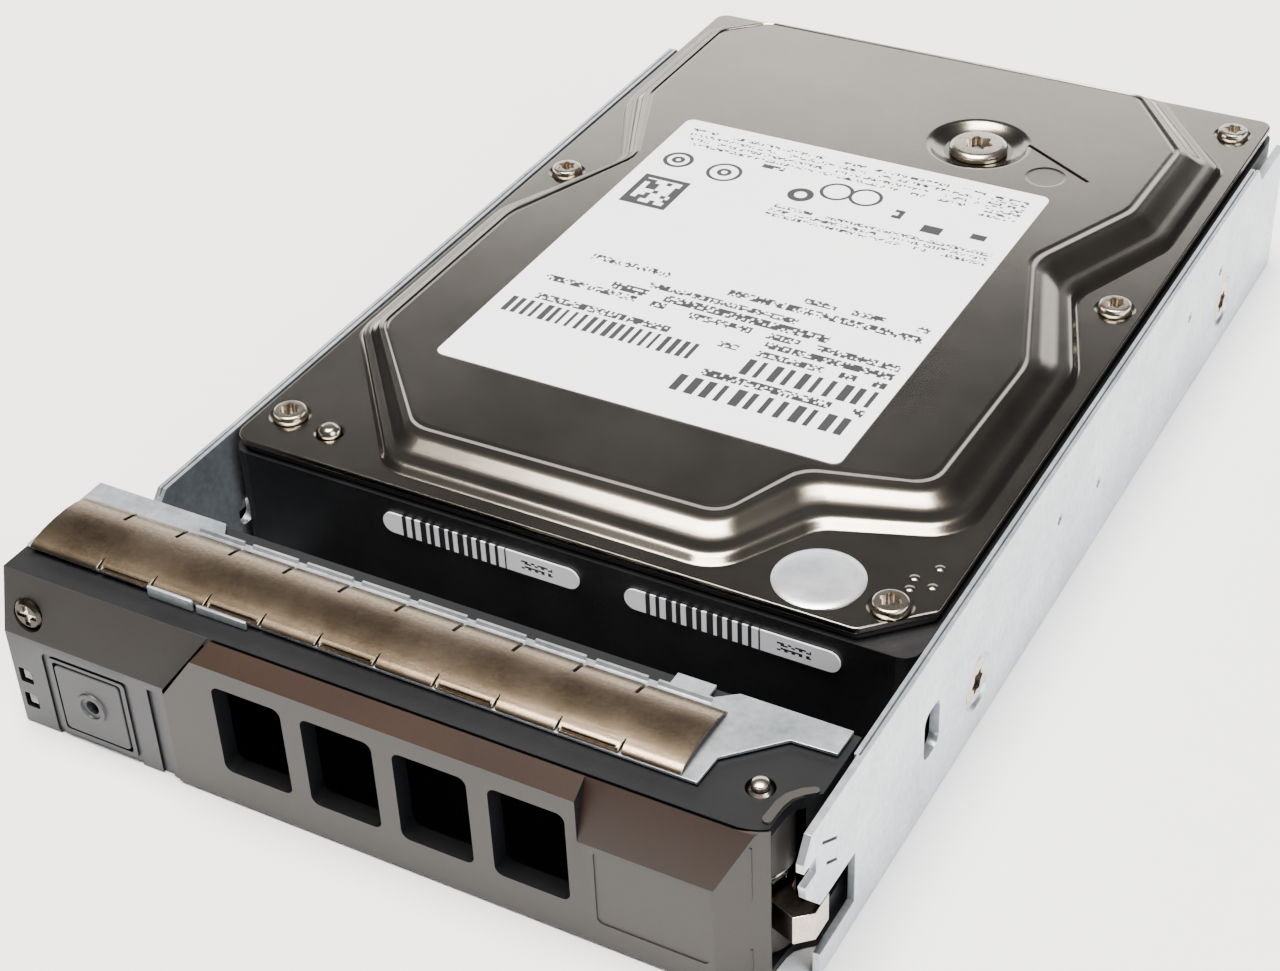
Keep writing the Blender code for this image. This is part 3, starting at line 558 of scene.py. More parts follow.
def make_materials(colours):
    grain_group()
    brushed_group()
    print_group()
    ring_group()
    finish_material("satin_steel", tuple(colours.cover), linear("#787369"), 0.18, 1.0, 6000.0, 25.0, 0.02, 0.04, 0.6)
    finish_material("zinc", tuple(colours.tray), linear("#9aa2aa"), 0.36, 0.85, 900.0, 90.0, 0.06, 0.09, 0.5)
    finish_material("steel", linear("#d8d0c4"), linear("#a89a88"), 0.22, 1.0, 3000.0, 150.0, 0.03, 0.06)
    finish_material("dark_steel", linear("#4a453f"), linear("#2f2b27"), 0.35, 1.0, 3000.0, 150.0, 0.03, 0.06)
    finish_material(
        "spring_steel", tuple(colours.gasket), linear("#6d5b48"), 0.24, 1.0, 2500.0, 60.0, 0.03, 0.07, 0.4
    )
    finish_material("aluminium", linear("#d5d6d8"), linear("#b7b9bc"), 0.3, 1.0, 2500.0, 60.0, 0.05)
    finish_material("mirror", linear("#eeeeee"), linear("#dcdcdf"), 0.06, 1.0, 1500.0, 20.0, 0.0, 0.02)
    finish_material("magnet", linear("#8b8b8e"), linear("#6c6c70"), 0.4, 0.9)
    finish_material("copper", linear("#c98a5a"), linear("#8f5630"), 0.35, 1.0, 1500.0, 300.0, 0.2)
    finish_material("black_casting", linear("#1b1b1e"), linear("#0c0c0e"), 0.42, 0.2, 1800.0, 80.0, 0.15, 0.1)
    finish_material(
        "black_plastic", linear("#0b0c10"), linear("#050608"), 0.5, 0.0, 2200.0, 60.0, 0.1, specular=DULL
    )
    finish_material("dark_plastic", tuple(colours.button), linear("#212327"), 0.45, 0.05, 2500.0, 60.0, 0.1)
    finish_material("grey_plastic", tuple(colours.handle), linear("#23201e"), 0.5, 0.15, 5000.0, 50.0, 0.08, 0.06)
    # A lighter brown copy of the handle's grey plastic for its upward chamfers: painted light
    finish_material(
        "handle_slope_painted_light", linear("#2b1a0f"), linear("#1c1009"), 0.5, 0.1, 5000.0, 50.0, 0.06, specular=DULL
    )
    # A lighter, warmer brown copy of the bezel's black plastic for its upward front slope: painted light
    finish_material(
        "bezel_slope_painted_light", linear("#1b1612"), linear("#100d0a"), 0.5, 0.0, 3500.0, 50.0, 0.08, specular=DULL
    )
    finish_material("white_plastic", linear("#e6e6e2"), linear("#d2d2cc"), 0.5, 0.0)
    finish_material("gasket_rubber", linear("#151515"), linear("#0c0c0c"), 0.8, 0.0)
    finish_material("foam", linear("#2c2c2c"), linear("#191919"), 0.95, 0.0, 1200.0, 200.0, 0.6)
    finish_material("foil", linear("#dfe2e6"), linear("#c3c8ce"), 0.33, 0.8, 3000.0, 200.0, 0.1)
    finish_material("board_green", linear("#1d5138"), linear("#0f3322"), 0.4, 0.0, 800.0, 400.0, 0.2)
    graph, shader, _ = finish_material("clear_plastic", linear("#eef4f6"), linear("#dfe8ea"), 0.12, 0.0, bump=0.01)
    shader.inputs["Transmission Weight"].default_value = 0.85
    blocks, rings = label_blocks()
    paper_material("label_paper", tuple(colours.label), LABEL_MIDDLE, blocks, rings)
    for name, x in (("pill_left", 40.0), ("pill_right", 76.9)):
        paper_material(name, linear("#e9ebf0"), (x, 0, -5.9), pill_blocks(), [], True)


# The drive

OUTER_RIDGE = [
    (1.2, 29.5, 6), (23.5, 2.5, 6), (73.5, 2.5, 7), (81.5, 16.0, 6), (99.2, 22.5, 8), (99.2, 63.0, 14),
    (91.6, 82.0, 7), (99.2, 101.0, 10), (99.2, 127.5, 4), (84.0, 145.6, 4), (9.0, 145.6, 2), (1.6, 139.5, 2),
    (1.6, 108.5, 9), (10.8, 90.0, 5), (1.2, 69.0, 10),
]  # fmt: skip
INNER_RIDGE = [
    (5.2, 30.5, 5), (23.5, 10.4, 5), (69.8, 11.2, 4), (75.2, 24.2, 5), (91.8, 28.8, 4), (92.4, 60.0, 12),
    (83.2, 86.5, 7), (91.4, 106.0, 8), (91.8, 127.0, 3), (80.0, 142.5, 3), (12.0, 142.5, 3), (5.8, 136.5, 3),
    (5.8, 110.0, 8), (14.2, 90.0, 5), (5.2, 66.0, 10),
]  # fmt: skip
RIDGE_PROFILE = [
    (0.0, -0.4), (0.0, 0.0), (0.03, 0.04), (0.07, 0.2), (0.13, 0.62), (0.18, 0.85), (0.24, 0.98), (0.32, 1.02),
    (0.4, 1.02), (0.45, 1.07), (0.52, 1.22), (0.62, 1.55), (0.72, 1.92), (0.78, 2.1), (0.85, 2.2), (0.9, 2.22),
    (0.94, 2.3), (0.98, 2.32), (1.02, 2.22), (1.05, 2.12), (1.1, 2.12), (1.13, 2.2), (1.17, 2.2),
]  # fmt: skip
COVER_SCREWS = [(4.8, 7.8), (95.7, 6.1), (4.7, 84.0), (97.3, 82.0), (96.6, 140.0)]
LOCATING_PIN = (12.1, 6.7)
PIVOT = (62.2, 116.4)


def ridge_ring(share):
    """The ridge's outline a share of the way from its outer foot to the plateau's edge."""
    corners = []
    for outer, inner in zip(OUTER_RIDGE, INNER_RIDGE):
        corners.append([a + (b - a) * share for a, b in zip(outer, inner)])
    return rounded(corners, 7)


def build_cover():
    corners = [(0.3, 0.3, 2.5), (93.6, 0.3, 1.5), (101.3, 8.0, 1.5), (101.3, 146.7, 2), (0.3, 146.7, 2)]
    sheet = soften(prism(rounded(corners), -1, 0), 0.25, 3)
    cover = weld(sheet, loft([(ridge_ring(share), height) for share, height in RIDGE_PROFILE]))
    well = [(5.4, 0.9), (5.6, 1.0), (6.9, 1.35), (7.6, 1.9), (8.1, 2.12), (9.0, 2.28), (9.0, 4)]
    carve(cover, turned(*PIVOT, well, "z", 64))
    near = Vector((PIVOT[0] + 7.2, PIVOT[1] + 3.0))
    far = Vector((PIVOT[0] + 20.0, PIVOT[1] - 4.6))
    along = (far - near).normalized()
    side = Vector((-along.y, along.x)) * 0.35
    carve(cover, prism([near - side, far - side, far + side, near + side], 1.9, 4))
    carve(cover, turned(75.7, 110.6, [(2.6, 2.08), (3.2, 2.16), (3.4, 4)]))
    for x, y in COVER_SCREWS:
        carve(cover, turned(x, y, [(1.6, -2), (1.6, -0.35), (2.6, -0.3), (3.0, -0.02), (3.1, 1.1)]))
    carve(cover, turned(*LOCATING_PIN, [(1.9, -2), (1.9, -0.2), (2.3, 0.1)]))
    for x, y in ((96.1, 12.5), (98.8, 11.8), (98.2, 15.6), (96.4, 10.3)):
        weld(cover, turned(x, y, [(0.7, -0.3), (0.62, 0.12), (0.35, 0.25)], "z", 16))
    finish(cover, "stamped_cover", "satin_steel", "frame", ["top_cover"])


def screw(x, y, seat, radius, height, socket):
    """A low round head with a six-lobed socket."""
    crown = [(1.2, seat - 3), (1.2, seat), (radius, seat), (radius, seat + height * 0.6)]
    crown += [(radius * 0.93, seat + height * 0.88), (radius * 0.8, seat + height)]
    head = turned(x, y, crown)
    return carve(head, prism(lobed(x, y, socket, socket * 0.72), seat + height * 0.25, seat + 3))


def build_cover_screws():
    for k, (x, y) in enumerate(COVER_SCREWS, 1):
        head = screw(x, y, -0.2, 2.4, 1.3, 1.5)
        finish(head, f"cover_screw_head_{k}", "steel", "frame", [f"cover_screw_{k}"])
    head = screw(*PIVOT, 1.05, 4.7, 1.3, 2.4)
    finish(head, "pivot_screw_head", "steel", "frame", ["pivot_screw"])
    pin = turned(*LOCATING_PIN, [(1.6, -3), (1.6, 0.0), (1.5, 0.5), (1.15, 0.95), (0.6, 1.18)])
    finish(pin, "locating_pin_dome", "steel", "frame", ["locating_pin"])


def build_labels():
    x0, x1, y0, y1 = LABEL
    sheet = soften(prism(rounded_box(x0, x1, y0, y1, 1.4), 2.21, 2.36), 0.04, 1)
    finish(sheet, "printed_label", "label_paper", "frame", ["drive_label"])
    seal = turned(85.6, 7.1, [(6.0, 0.02), (6.0, 0.12), (5.7, 0.3), (4.9, 0.46), (3.0, 0.58), (1.0, 0.62)], "z", 48)
    finish(seal, "seal_disc", "foil", "frame", ["seal_sticker"])
    for name, x in (("left", 24.9), ("right", 61.8)):
        pill = prism(rounded_box(x, x + 30.2, -7.5, -4.3, 1.55), -0.32, -0.08, "y")
        finish(pill, f"front_barcode_{name}", f"pill_{name}", "frame", [f"front_label_{name}"])


# The tray

TRAY_BOTTOM = -25.4
FLOOR_TOP = -24.2
RIGHT_RAIL = (102.3, 103.65)
LEFT_RAIL = (-2.05, -0.7)
RAIL_END = [(146.5, TRAY_BOTTOM), (146.5, -3.6), (134, -3.6), (131.5, -0.6)]
RAIL_SCREWS_Y = (16.9, 118.5)
RAIL_SCREWS_Z = -17.55
GASKET_LEFT = -8.3
GASKET_FINGERS = 11
GASKET_PITCH = 8.43
CROWN = [
    (-31.35, -0.1), (-31.25, 0.1), (-30.9, 0.32), (-30.2, 0.6), (-28.6, 0.95), (-26.4, 1.15), (-24.0, 1.15),
    (-22.2, 0.92), (-21.0, 0.6), (-20.2, 0.3), (-19.7, 0.02), (-19.6, -0.2),
]  # fmt: skip


def build_gasket():
    """A strip of arched spring fingers, with slits at its back and its front."""
    under = [(y, z - 0.25) for y, z in CROWN[-2:0:-1]]
    shape = [*CROWN, *under]
    right = GASKET_LEFT + GASKET_FINGERS * GASKET_PITCH + 2.2
    strip = prism(shape, GASKET_LEFT, right, "x")
    for k in range(1, GASKET_FINGERS):
        x = GASKET_LEFT + k * GASKET_PITCH
        carve(strip, block(x - 0.22, x + 0.22, -22.4, -19, -1, 3))
        carve(strip, prism([(x + 2.4, -31.6), (x + 2.9, -31.6), (x + 2.7, -29.6), (x + 2.55, -29.6)], -1, 3))
    for k in range(1, GASKET_FINGERS - 1, 2):
        x = GASKET_LEFT + k * GASKET_PITCH + 2.6
        carve(strip, block(x + 0.6, x + GASKET_PITCH - 0.6, -32, -30.75, 0.1, 3))
    soften(strip, 0.08, 1, 40)
    finish(strip, "spring_finger_strip", "spring_steel", "frame", ["emi_gasket"])


def build_shield():
    """The plate under the strip, with a lip behind each finger from the third on, and two tabs that hook over the
    bezel.
    """
    outline = [
        (-9.4, -30.9), (88.7, -31.4), (88.9, -26.7), (95, -20.5), (100.8, -20.2), (100.9, -15.9), (86.3, -15.9),
        (83.2, -18.3), (83.2, -15.8), (78, -15.8), (78, -18.3), (13, -18.3), (11.5, -15.9), (-9.4, -15.9),
    ]  # fmt: skip
    plate = soften(prism(outline, -0.75, -0.3), 0.1)
    lip = [(-18.9, -0.4), (-18.3, -0.4), (-18.35, 0.2), (-18.7, 0.2)]
    for k in range(2, GASKET_FINGERS):
        x = GASKET_LEFT + k * GASKET_PITCH
        weld(plate, prism(lip, x + 0.9, x + GASKET_PITCH - 0.5, "x"))
    high_tab = soften(block(11.2, 18.2, -31.9, -31.5, -0.9, 0.75), 0.12)
    low_tab = soften(block(18.8, 26.4, -31.9, -31.5, -0.9, 0.3), 0.12)
    join(plate, high_tab, low_tab)
    finish(plate, "shield_plate", "zinc", "frame", ["front_shield"])


def build_rails():
    side = [
        (-33, -0.6), (-35, -3.5), (-35, -4.8), (-31.7, -4.8), (-31.7, -7.4), (-34.6, -7.4), (-34.2, -9.4),
        (-30.6, -13.6), (-21, -13.9), (-21, -22), (-30.5, -22), (-30.5, TRAY_BOTTOM), *RAIL_END,
    ]  # fmt: skip
    right = prism(side, *RIGHT_RAIL, "x")
    carve(right, block(102, 102.7, -40, -19, -30, 5))
    carve(right, block(102.85, 103.1, -19, 150, -1.6, 1))
    for y0, y1, z in ((-30.2, -26.2, -4), (-29, -26.1, -8.2)):
        fall = (y1 - y0) * 0.65
        carve(right, prism([(y0, z), (y1, z - fall), (y1, z - fall - 0.5), (y0, z - 0.5)], 101, 105, "x"))
    for y in RAIL_SCREWS_Y:
        dimple = [(1.8, 101), (1.8, 102.9), (3.7, 103.1), (4.2, 103.7), (4.2, 105)]
        carve(right, turned(y, RAIL_SCREWS_Z, dimple, "x"))
    carve(right, prism(rounded_box(-1, 3.8, -17, -9.5, 1.5), 101, 105, "x"))
    for y, z in ((61, -15), (100, -10), (115, -10), (45, -10.6)):
        carve(right, turned(y, z, [(0.8, 103.2), (1.0, 105)], "x", 20))
    soften(right, 0.14)
    weld(right, block(98.3, 102.6, -15.5, 145.5, TRAY_BOTTOM, FLOOR_TOP))
    finish(right, "right_rail_sheet", "zinc", "frame", ["tray_right_rail"])
    side = [(-13, -0.6), (-14.5, -2.1), (-14.5, TRAY_BOTTOM), *RAIL_END]
    left = prism(side, *LEFT_RAIL, "x")
    carve(left, block(-1.5, -1.25, -15, 150, -1.6, 1))
    for y in RAIL_SCREWS_Y:
        carve(left, turned(y, RAIL_SCREWS_Z, [(1.8, 1), (1.8, -1.4), (4.2, -2.0), (4.2, -3)], "x"))
    carve(left, prism(rounded_box(0.2, 3.4, -16.2, -12.2, 1.5), -3, 1, "x"))
    soften(left, 0.14)
    weld(left, block(-1.4, 3.3, -14, 145.5, TRAY_BOTTOM, FLOOR_TOP))
    finish(left, "left_rail_sheet", "zinc", "frame", ["tray_left_rail"])


def build_rail_screws():
    """Countersunk screws, sunk a little into the rails' dimples, with the floors of their sockets painted dark steel
    as painted shade.
    """
    depths = [(1.5, 5.4), (1.5, 1.0), (3.1, 0.5), (3.2, 0.3), (2.9, 0.15)]
    faces = ((RIGHT_RAIL[1], -1), (LEFT_RAIL[0], 1))
    places = [(face, inwards, y) for face, inwards in faces for y in RAIL_SCREWS_Y]
    for number, (face, inwards, y) in enumerate(places, 1):
        head = turned(y, RAIL_SCREWS_Z, [(radius, face + inwards * depth) for radius, depth in depths], "x")
        floor, mouth = sorted((face + inwards * 0.9, face - inwards))
        carve(head, prism(lobed(y, RAIL_SCREWS_Z, 1.8, 1.3), floor, mouth, "x"))
        finish(head, f"rail_screw_head_{number}", "steel", "frame", [f"mount_screw_{number}"])
        # The socket floor is painted dark steel: painted shade in the recess
        repaint(head, "dark_steel", lambda p, n: 0.8 < (p.x - face) * inwards < 1.0 and abs(n.x) > 0.9)


# The bezel, handle and button

BEZEL_FRONT = -37.5
BEZEL_BACK = -15.8
BEZEL_SCREW = (-5.8, -6.6)
HANDLE_PIN = (95.1, -28.3)
BUTTON = (-2.6, 8.6, -24.0, -12.6)
LIGHTS_Z = (-17.1, -21.4)
LIGHTS_X = -7.9
WINDOW_EDGES = [(24.6 + 13.3 * k, 35.0 + 13.3 * k) for k in range(4)]
WINDOW_LOW, WINDOW_HIGH = -19.8, -5.8


def window(k):
    return rounded_box(*WINDOW_EDGES[k], WINDOW_LOW, WINDOW_HIGH, 1.2)


def pin_hole():
    """A cutter for the hole that the hinge pin goes through."""
    return turned(*HANDLE_PIN, [(1.8, -30), (1.8, 5)])


def build_bezel():
    plan = [(15.9, BEZEL_FRONT), (15.9, -35.0), *arc(HANDLE_PIN, 6.7, -90, -56, 8), (98.9, -31.6), (99.1, -29.8)]
    plan += [(99.4, -28.6), (100.2, -27.5), (101.8, -26.1), (101.8, BEZEL_BACK), (-9.8, BEZEL_BACK)]
    bezel = prism([*plan, (-9.8, BEZEL_FRONT)], TRAY_BOTTOM, -1)
    weld(bezel, prism([(10, -1), (22.9, -1), (15.9, -10.3), (10, -10.3)], BEZEL_FRONT, -34.8, "y"))
    bay = [(15.9, -35.1), (110, -35.1), (110, -27.5), (100.3, -27.5), (100.3, -17.4), (15.9, -17.4)]
    carve(bezel, prism(bay, FLOOR_TOP, -2.6))
    carve(bezel, block(-8.3, 16.9, -30, -17.4, FLOOR_TOP, -2.6), block(99.3, 103, -30, -19.5, -19.5, -14))
    slope = [(-41, 1), (-35.1, 1), (-35.1, -1.2), (BEZEL_FRONT, -10), (-41, -10)]
    carve(bezel, prism(slope, -11, 30, "x"))
    x0, x1, z0, z1 = BUTTON
    carve(bezel, prism(rounded_box(x0, x1, z0, z1, 0.5), -40, -29, "y"))
    frame_edge = [(15.0, -41), (15.0, -37.1), (13.2, -37.1), (13.2, -41)]
    carve(bezel, prism(frame_edge, -30, -11.2))
    outer = rounded_box(x0 - 1.6, x1 + 1.6, z0 - 1.6, z1 + 1.0, 1.0)
    inner = rounded_box(x0 - 0.7, x1 + 0.7, z0 - 0.7, z1 + 0.5, 0.7)
    ring = carve(prism(outer, -38.2, -37.2, "y"), prism(inner, -40, -37.28, "y"))
    carve(bezel, ring)
    for z in LIGHTS_Z:
        carve(bezel, prism(rounded_box(LIGHTS_X - 1.1, LIGHTS_X + 1.1, z - 1.2, z + 1.2, 0.3), -40, -16, "y"))
        carve(bezel, block(LIGHTS_X - 1, LIGHTS_X + 1, -18, -10, z - 1.1, z + 1.1))
    for k in range(4):
        carve(bezel, prism(window(k), -19, -14, "y"))
    carve(bezel, pin_hole())
    carve(bezel, turned(*BEZEL_SCREW, [(1.3, -30), (1.3, -36), (2.4, -36), (2.4, -40)], "y"))
    soften(bezel, 0.22, 2)
    rib = [(98.7, -33.4), (98.75, -31.6), (98.9, -29.9), (99.25, -28.7), (100.1, -27.6), (101.5, -26.4)]
    rib += [(101.2, -25.4), (99.4, -26.7), (98.2, -28.2), (97.7, -29.8), (97.5, -33.2)]
    weld(bezel, soften(prism(rounded([(x, y, 0.5) for x, y in rib], 2), -1.6, -0.6), 0.15))
    weld(bezel, block(3.8, 97.8, -16.8, 6, TRAY_BOTTOM, FLOOR_TOP))
    finish(bezel, "bezel_shell", "black_plastic", "frame", ["bezel_body"])
    # The upward front slope takes a lighter, warmer copy of the black plastic: painted light
    repaint(bezel, "bezel_slope_painted_light", lambda p, n: n.y < -0.2 and n.z > 0.15 and p.y < -34.9)
    # The rib's top takes the handle's grey plastic: a painted sheen on the black bezel
    repaint(bezel, "grey_plastic", lambda p, n: p.z > -0.95 and p.x > 97 and p.y < -25)
    repaint(bezel, "dark_plastic", lambda p, n: n.y < -0.8 and p.y < -37 and p.x < 17)


def build_bezel_screw():
    """A round dark head with a cross-shaped socket, whose floor is painted bright steel as a painted highlight."""
    x, z = BEZEL_SCREW
    head = turned(x, z, [(1, -30), (1, -35.9), (2.1, -35.9), (2.2, -36.5), (1.8, -36.9)], "y")
    for a, b in ((1.6, 0.42), (0.42, 1.6)):
        carve(head, block(x - a, x + a, -38, -36.6, z - b, z + b))
    finish(head, "bezel_screw_head", "dark_steel", "frame", ["bezel_screw"])
    # The cross socket's floor is painted bright steel: a painted highlight
    repaint(head, "steel", lambda p, n: n.y < -0.9 and -36.7 < p.y < -36.5)


def build_hinge_pin():
    pin = turned(*HANDLE_PIN, [(1.5, -25.2), (1.5, -1.3), (1.15, -1.0), (1.15, -0.5), (0.95, -0.1), (0.5, 0.1)])
    finish(pin, "hinge_pin_head", "steel", "frame", ["handle_pin"])


def build_handle():
    back, low, high = -35.3, -25.2, -1.0
    plan = [(16.3, -38), (93.9, -38), (99.3, -34.3), *arc(HANDLE_PIN, 7.0, -54, -90, 8), (16.3, back)]
    lever = prism(plan, low, high)
    for left, foot in ((0, -3.0), (76.4, -9.2)):
        edge = high - 0.2
        beyond = edge + (edge - foot) / 2.7
        carve(lever, prism([(-45, foot), (-38, foot), (back + 1, beyond), (-45, beyond)], left, 120, "x"))
    carve(lever, prism([(0, 5), (23.4, 5), (23.4, -1), (16.3, -10.6), (0, -10.6)], -45, -30, "y"))
    for k in range(4):
        carve(lever, prism(window(k), -45, -30, "y"))
    carve(lever, prism(rounded_box(78.4, 93.2, -21.6, -9.8, 0.8), -39, -37.85, "y"))
    soften(lever, 0.3, 3)
    for z0, z1 in ((-23.8, -19.2), (-11.2, -3)):
        weld(lever, turned(*HANDLE_PIN, [(4, z0), (4, z1)]), block(92.6, 97.6, -35.7, -28.3, z0, z1))
    carve(lever, pin_hole())
    finish(lever, "handle_bar", "grey_plastic", "handle", ["handle_lever"])
    # The handle's upward chamfers take the lighter brown copy of its plastic: painted light
    repaint(lever, "handle_slope_painted_light", lambda p, n: n.y < -0.2 and n.z > 0.15 and p.y < -34.5 and p.z > -9.4)
    # Faces below the chamfer that face neither front nor back, i.e. the window and notch walls, the underside and
    # the left end, are painted black plastic: painted shade in the recesses and between the parts
    repaint(lever, "black_plastic", lambda p, n: p.y > -37.6 and p.z < -4 and p.x < 78 and abs(n.y) < 0.7)


def build_claw():
    """The steel hook beside the hinge, which turns with the handle."""
    hook = [(97, -31.4), (101.4, -33), (103.4, -31.2), (103.4, -27.6), (101.9, -28), (101.2, -30.2), (97.6, -27.2)]
    claw = weld(turned(*HANDLE_PIN, [(4, -18.9), (4, -14.6)]), prism(hook, -18.9, -14.6))
    carve(claw, pin_hole())
    soften(claw, 0.25)
    finish(claw, "hooked_claw", "dark_steel", "handle", ["handle_claw"])
    repaint(claw, "steel", lambda p, n: p.x > 101.3)


def build_button():
    x0, x1, z0, z1 = (BUTTON[0] + 0.3, BUTTON[1] - 0.3, BUTTON[2] + 0.3, BUTTON[3] - 0.3)
    cap = prism(rounded_box(x0, x1, z0, z1, 0.8), -37.6, -28.4, "y")
    middle = ((x0 + x1) / 2, (z0 + z1) / 2)
    carve(cap, turned(*middle, [(0.9, -35), (1.1, -40)], "y"))
    raised = carve(prism(circle(*middle, 2.3), -37.95, -37.4, "y"), prism(circle(*middle, 1.6), -39, -37, "y"))
    weld(cap, raised)
    soften(cap, 0.2, 2)
    weld(cap, block(x0 - 1.2, x1 + 1.2, -29.4, -28.4, z0, z1 + 1.2))
    finish(cap, "latch_button_cap", "dark_plastic", "release_button", ["release_button"])


def build_button_spring():
    """The real spring shortens towards its rear end as the button goes in; this is a fixed copy of the CAD spring
    with its doubled vertices merged.
    """
    select(nodes["button_spring"])
    bpy.ops.object.duplicate()
    spring = bpy.context.object
    bpy.ops.object.mode_set(mode="EDIT")
    bpy.ops.mesh.select_all(action="SELECT")
    bpy.ops.mesh.remove_doubles(threshold=1e-6)
    bpy.ops.object.mode_set(mode="OBJECT")
    finish(spring, "coiled_button_spring", "steel", "frame", ["button_spring"])
    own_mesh(spring)


def build_light_pipes():
    for name, z in zip(("upper", "lower"), LIGHTS_Z):
        left, right = LIGHTS_X - 0.7, LIGHTS_X + 0.7
        plan = [(left, -37.2), (right, -37.2), (right, -13.4), (-3.6, -6), (-3.6, 140), (-5, 140), (-5, -5.4)]
        pipe = soften(prism([*plan, (left, -12.8)], z - 0.8, z + 0.8), 0.2, 2)
        finish(pipe, f"clear_light_pipe_{name}", "clear_plastic", "frame", [f"light_pipe_{name}"])


def finish_nodes():
    """Gives the CAD nodes that stay in view the finish of their slot."""
    for part in frame["record"]["subparts"]:
        node = nodes[part["node"]]
        node.data.materials.clear()
        node.data.materials.append(materials[part["material_slot"]])


# The stage

FLOOR_SIZE = 14
FLOOR_DROP = 0.0002
SKY = (0.9, 0.93, 1.0, 1)
SKY_STRENGTH = 0.09
LIGHTS = [
    ("back_panel", (-1.25, 2.75, 1.02), (4.2, 1.2), 48, (0.97, 0.98, 1.0)),
    ("right_panel", (2.4, -0.75, 1.5), (1.75, 1.75), 92, (0.94, 0.97, 1.0)),
    ("top_panel", (-0.25, -0.12, 3.0), (1.75, 1.75), 360, (1.0, 0.95, 0.88)),
]
CAMERA_PLACE = (180.94, -198.45, 181.77)
CAMERA_TURN = (53.603, 2.154, 28.768)
SENSOR_WIDTH = 36


def area_light(name, place, size, power, colour):
    """A rectangular light in metres, turned to the middle of the stage."""
    deselect()
    bpy.ops.object.light_add(type="AREA", location=place)
    lamp = bpy.context.object
    lamp.name = name
    lamp.data.shape = "RECTANGLE"
    lamp.data.size, lamp.data.size_y = size
    lamp.data.energy = power
    lamp.data.color = colour
    lamp.rotation_euler = (-Vector(place)).to_track_quat("-Z", "Y").to_euler()


def build_stage(settings):
    deselect()
    bpy.ops.mesh.primitive_plane_add(size=FLOOR_SIZE, location=(0, 0, -FLOOR_DROP))
    floor = bpy.context.object
    floor.name = "pale_floor"
    finish_material("floor_paint", linear("#fcfcfd"), linear("#f8f8fa"), 0.6, 0.0, 200.0, 3.0, 0.0, 0.02)
    floor.data.materials.append(materials["floor_paint"])
    world = bpy.data.worlds.new("studio")
    world.use_nodes = True
    background = world.node_tree.nodes["Background"]
    background.inputs[0].default_value = SKY
    background.inputs[1].default_value = SKY_STRENGTH
    bpy.context.scene.world = world
    for name, place, size, power, colour in LIGHTS:
        area_light(name, place, size, power * settings.light, colour)
    bpy.ops.object.camera_add(location=at(*CAMERA_PLACE))
    camera = bpy.context.object
    camera.rotation_euler = [math.radians(angle) for angle in CAMERA_TURN]
    camera.data.lens = settings.lens
    camera.data.sensor_width = SENSOR_WIDTH
    camera.data.clip_start = 0.01
    bpy.context.scene.camera = camera


# The add-on


def colour_setting(name, description, default):
    return bpy.props.FloatVectorProperty(
        name=name, description=description, subtype="COLOR", size=4, default=linear(default)
    )


class DriveColours(bpy.types.PropertyGroup):
    cover: colour_setting("Cover", "Colour of the stamped cover", "#968f86")
    tray: colour_setting("Tray", "Colour of the tray's plated sheet", "#d6dbe0")
    gasket: colour_setting("Gasket", "Colour of the spring fingers", "#a3927c")
    handle: colour_setting("Handle", "Colour of the handle's face", "#302c29")
    button: colour_setting("Button", "Colour of the button", "#323438")
    label: colour_setting("Label", "Colour of the label stock", "#fafbff")


class DriveStage(bpy.types.PropertyGroup):
    light: bpy.props.FloatProperty(name="Light", description="Strength of the studio lights", default=1.0, min=0.0)
    lens: bpy.props.FloatProperty(
        name="Lens", description="Focal length of the camera", default=65.7, min=10.0, unit="CAMERA"
    )


class DriveOperator(bpy.types.Operator):
    """The base of the operators that build one group of pieces"""

    bl_options = {"REGISTER", "UNDO"}

    def execute(self, context):
        self.build(context.scene)
        return {"FINISHED"}


class DRIVE_OT_materials(DriveOperator):
    """Makes the finishes and gives them to the CAD parts"""

    bl_idname = "drive.materials"
    bl_label = "Finishes"

    def build(self, scene):
        make_materials(scene.drive_colours)
        finish_nodes()


class DRIVE_OT_cover(DriveOperator):
    """Builds the stamped cover with its terraced ridge"""

    bl_idname = "drive.cover"
    bl_label = "Cover"

    def build(self, scene):
        build_cover()


class DRIVE_OT_screws(DriveOperator):
    """Builds the screws and the pin of the cover"""

    bl_idname = "drive.screws"
    bl_label = "Cover Screws"

    def build(self, scene):
        build_cover_screws()


class DRIVE_OT_labels(DriveOperator):
    """Builds the printed label, the seal and the two front barcodes"""

    bl_idname = "drive.labels"
    bl_label = "Labels"

    def build(self, scene):
        build_labels()


class DRIVE_OT_gasket(DriveOperator):
    """Builds the strip of spring fingers and the plate under it"""

    bl_idname = "drive.gasket"
    bl_label = "Spring Fingers"

    def build(self, scene):
        build_gasket()
        build_shield()


class DRIVE_OT_rails(DriveOperator):
    """Builds the two side rails and their screws"""

    bl_idname = "drive.rails"
    bl_label = "Rails"

    def build(self, scene):
        build_rails()
        build_rail_screws()


class DRIVE_OT_bezel(DriveOperator):
    """Builds the bezel, its screw and the hinge pin"""

    bl_idname = "drive.bezel"
    bl_label = "Bezel"

    def build(self, scene):
        build_bezel()
        build_bezel_screw()
        build_hinge_pin()


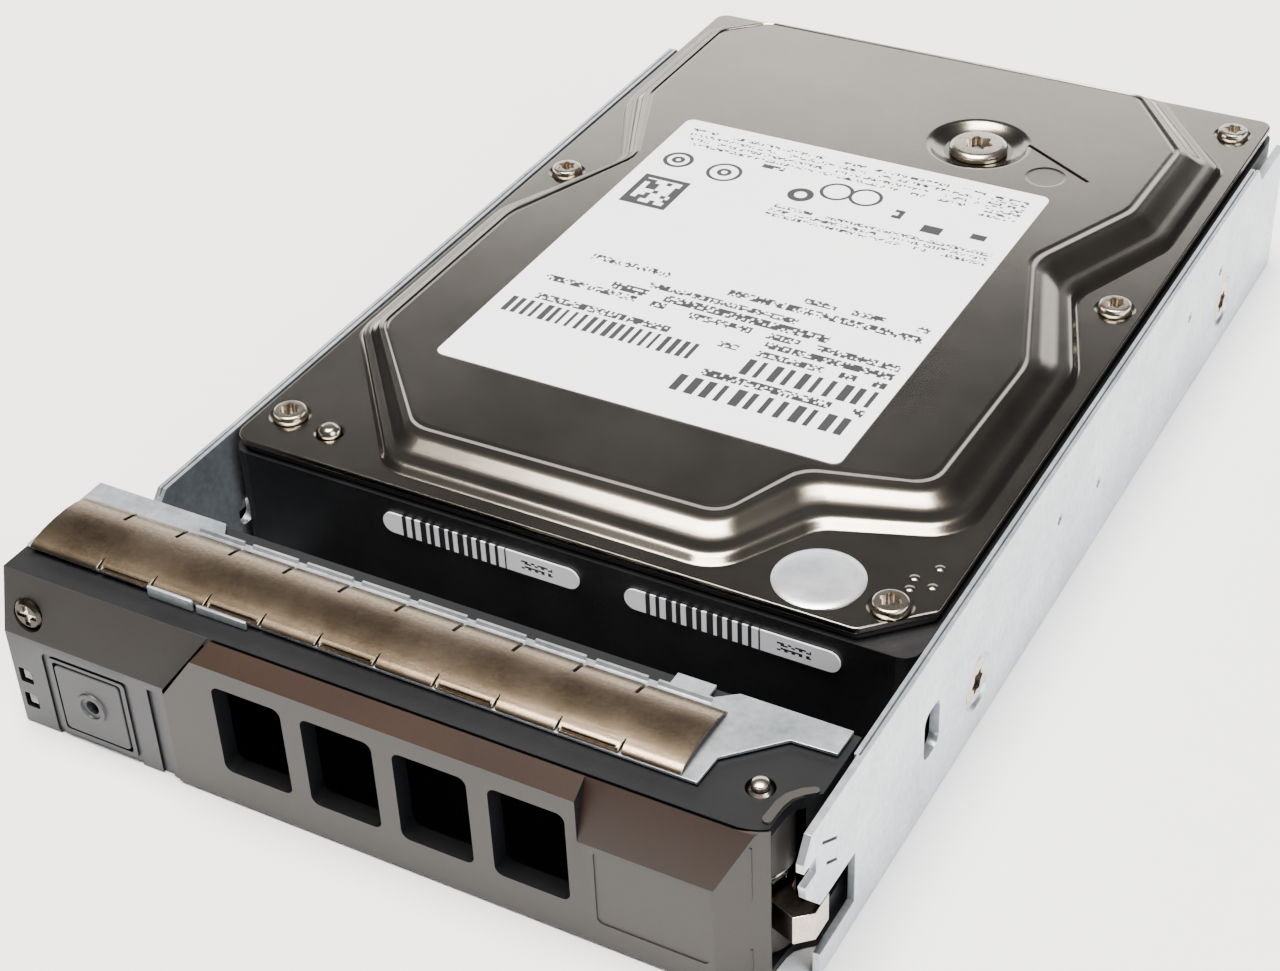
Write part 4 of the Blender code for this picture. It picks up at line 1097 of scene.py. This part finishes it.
class DRIVE_OT_handle(DriveOperator):
    """Builds the handle and its claw"""

    bl_idname = "drive.handle"
    bl_label = "Handle"

    def build(self, scene):
        build_handle()
        build_claw()


class DRIVE_OT_button(DriveOperator):
    """Builds the latch button and its spring"""

    bl_idname = "drive.button"
    bl_label = "Button"

    def build(self, scene):
        build_button()
        build_button_spring()


class DRIVE_OT_pipes(DriveOperator):
    """Builds the two light pipes"""

    bl_idname = "drive.pipes"
    bl_label = "Light Pipes"

    def build(self, scene):
        build_light_pipes()


class DRIVE_OT_stage(DriveOperator):
    """Builds the floor, the lights and the camera"""

    bl_idname = "drive.stage"
    bl_label = "Stage"

    def build(self, scene):
        build_stage(scene.drive_stage)


OPERATORS = (
    DRIVE_OT_materials,
    DRIVE_OT_cover,
    DRIVE_OT_screws,
    DRIVE_OT_labels,
    DRIVE_OT_gasket,
    DRIVE_OT_rails,
    DRIVE_OT_bezel,
    DRIVE_OT_handle,
    DRIVE_OT_button,
    DRIVE_OT_pipes,
    DRIVE_OT_stage,
)


class DRIVE_PT_panel(bpy.types.Panel):
    """Lists the builders and their settings"""

    bl_idname = "DRIVE_PT_panel"
    bl_label = "Hard Disk Drive"
    bl_space_type = "VIEW_3D"
    bl_region_type = "UI"
    bl_category = "Drive"

    def draw(self, context):
        scene = context.scene
        for group in (scene.drive_colours, scene.drive_stage):
            for name in group.__annotations__:
                self.layout.prop(group, name)
        for operator in OPERATORS:
            self.layout.operator(operator.bl_idname)


CLASSES = (DriveColours, DriveStage, *OPERATORS, DRIVE_PT_panel)


def register():
    for cls in CLASSES:
        bpy.utils.register_class(cls)
    bpy.types.Scene.drive_colours = bpy.props.PointerProperty(type=DriveColours)
    bpy.types.Scene.drive_stage = bpy.props.PointerProperty(type=DriveStage)


def unregister():
    del bpy.types.Scene.drive_stage
    del bpy.types.Scene.drive_colours
    for cls in reversed(CLASSES):
        bpy.utils.unregister_class(cls)


def main():
    register()
    for operator in OPERATORS:
        group, name = operator.bl_idname.split(".")
        getattr(getattr(bpy.ops, group), name)()


if __name__ == "__main__":
    main()
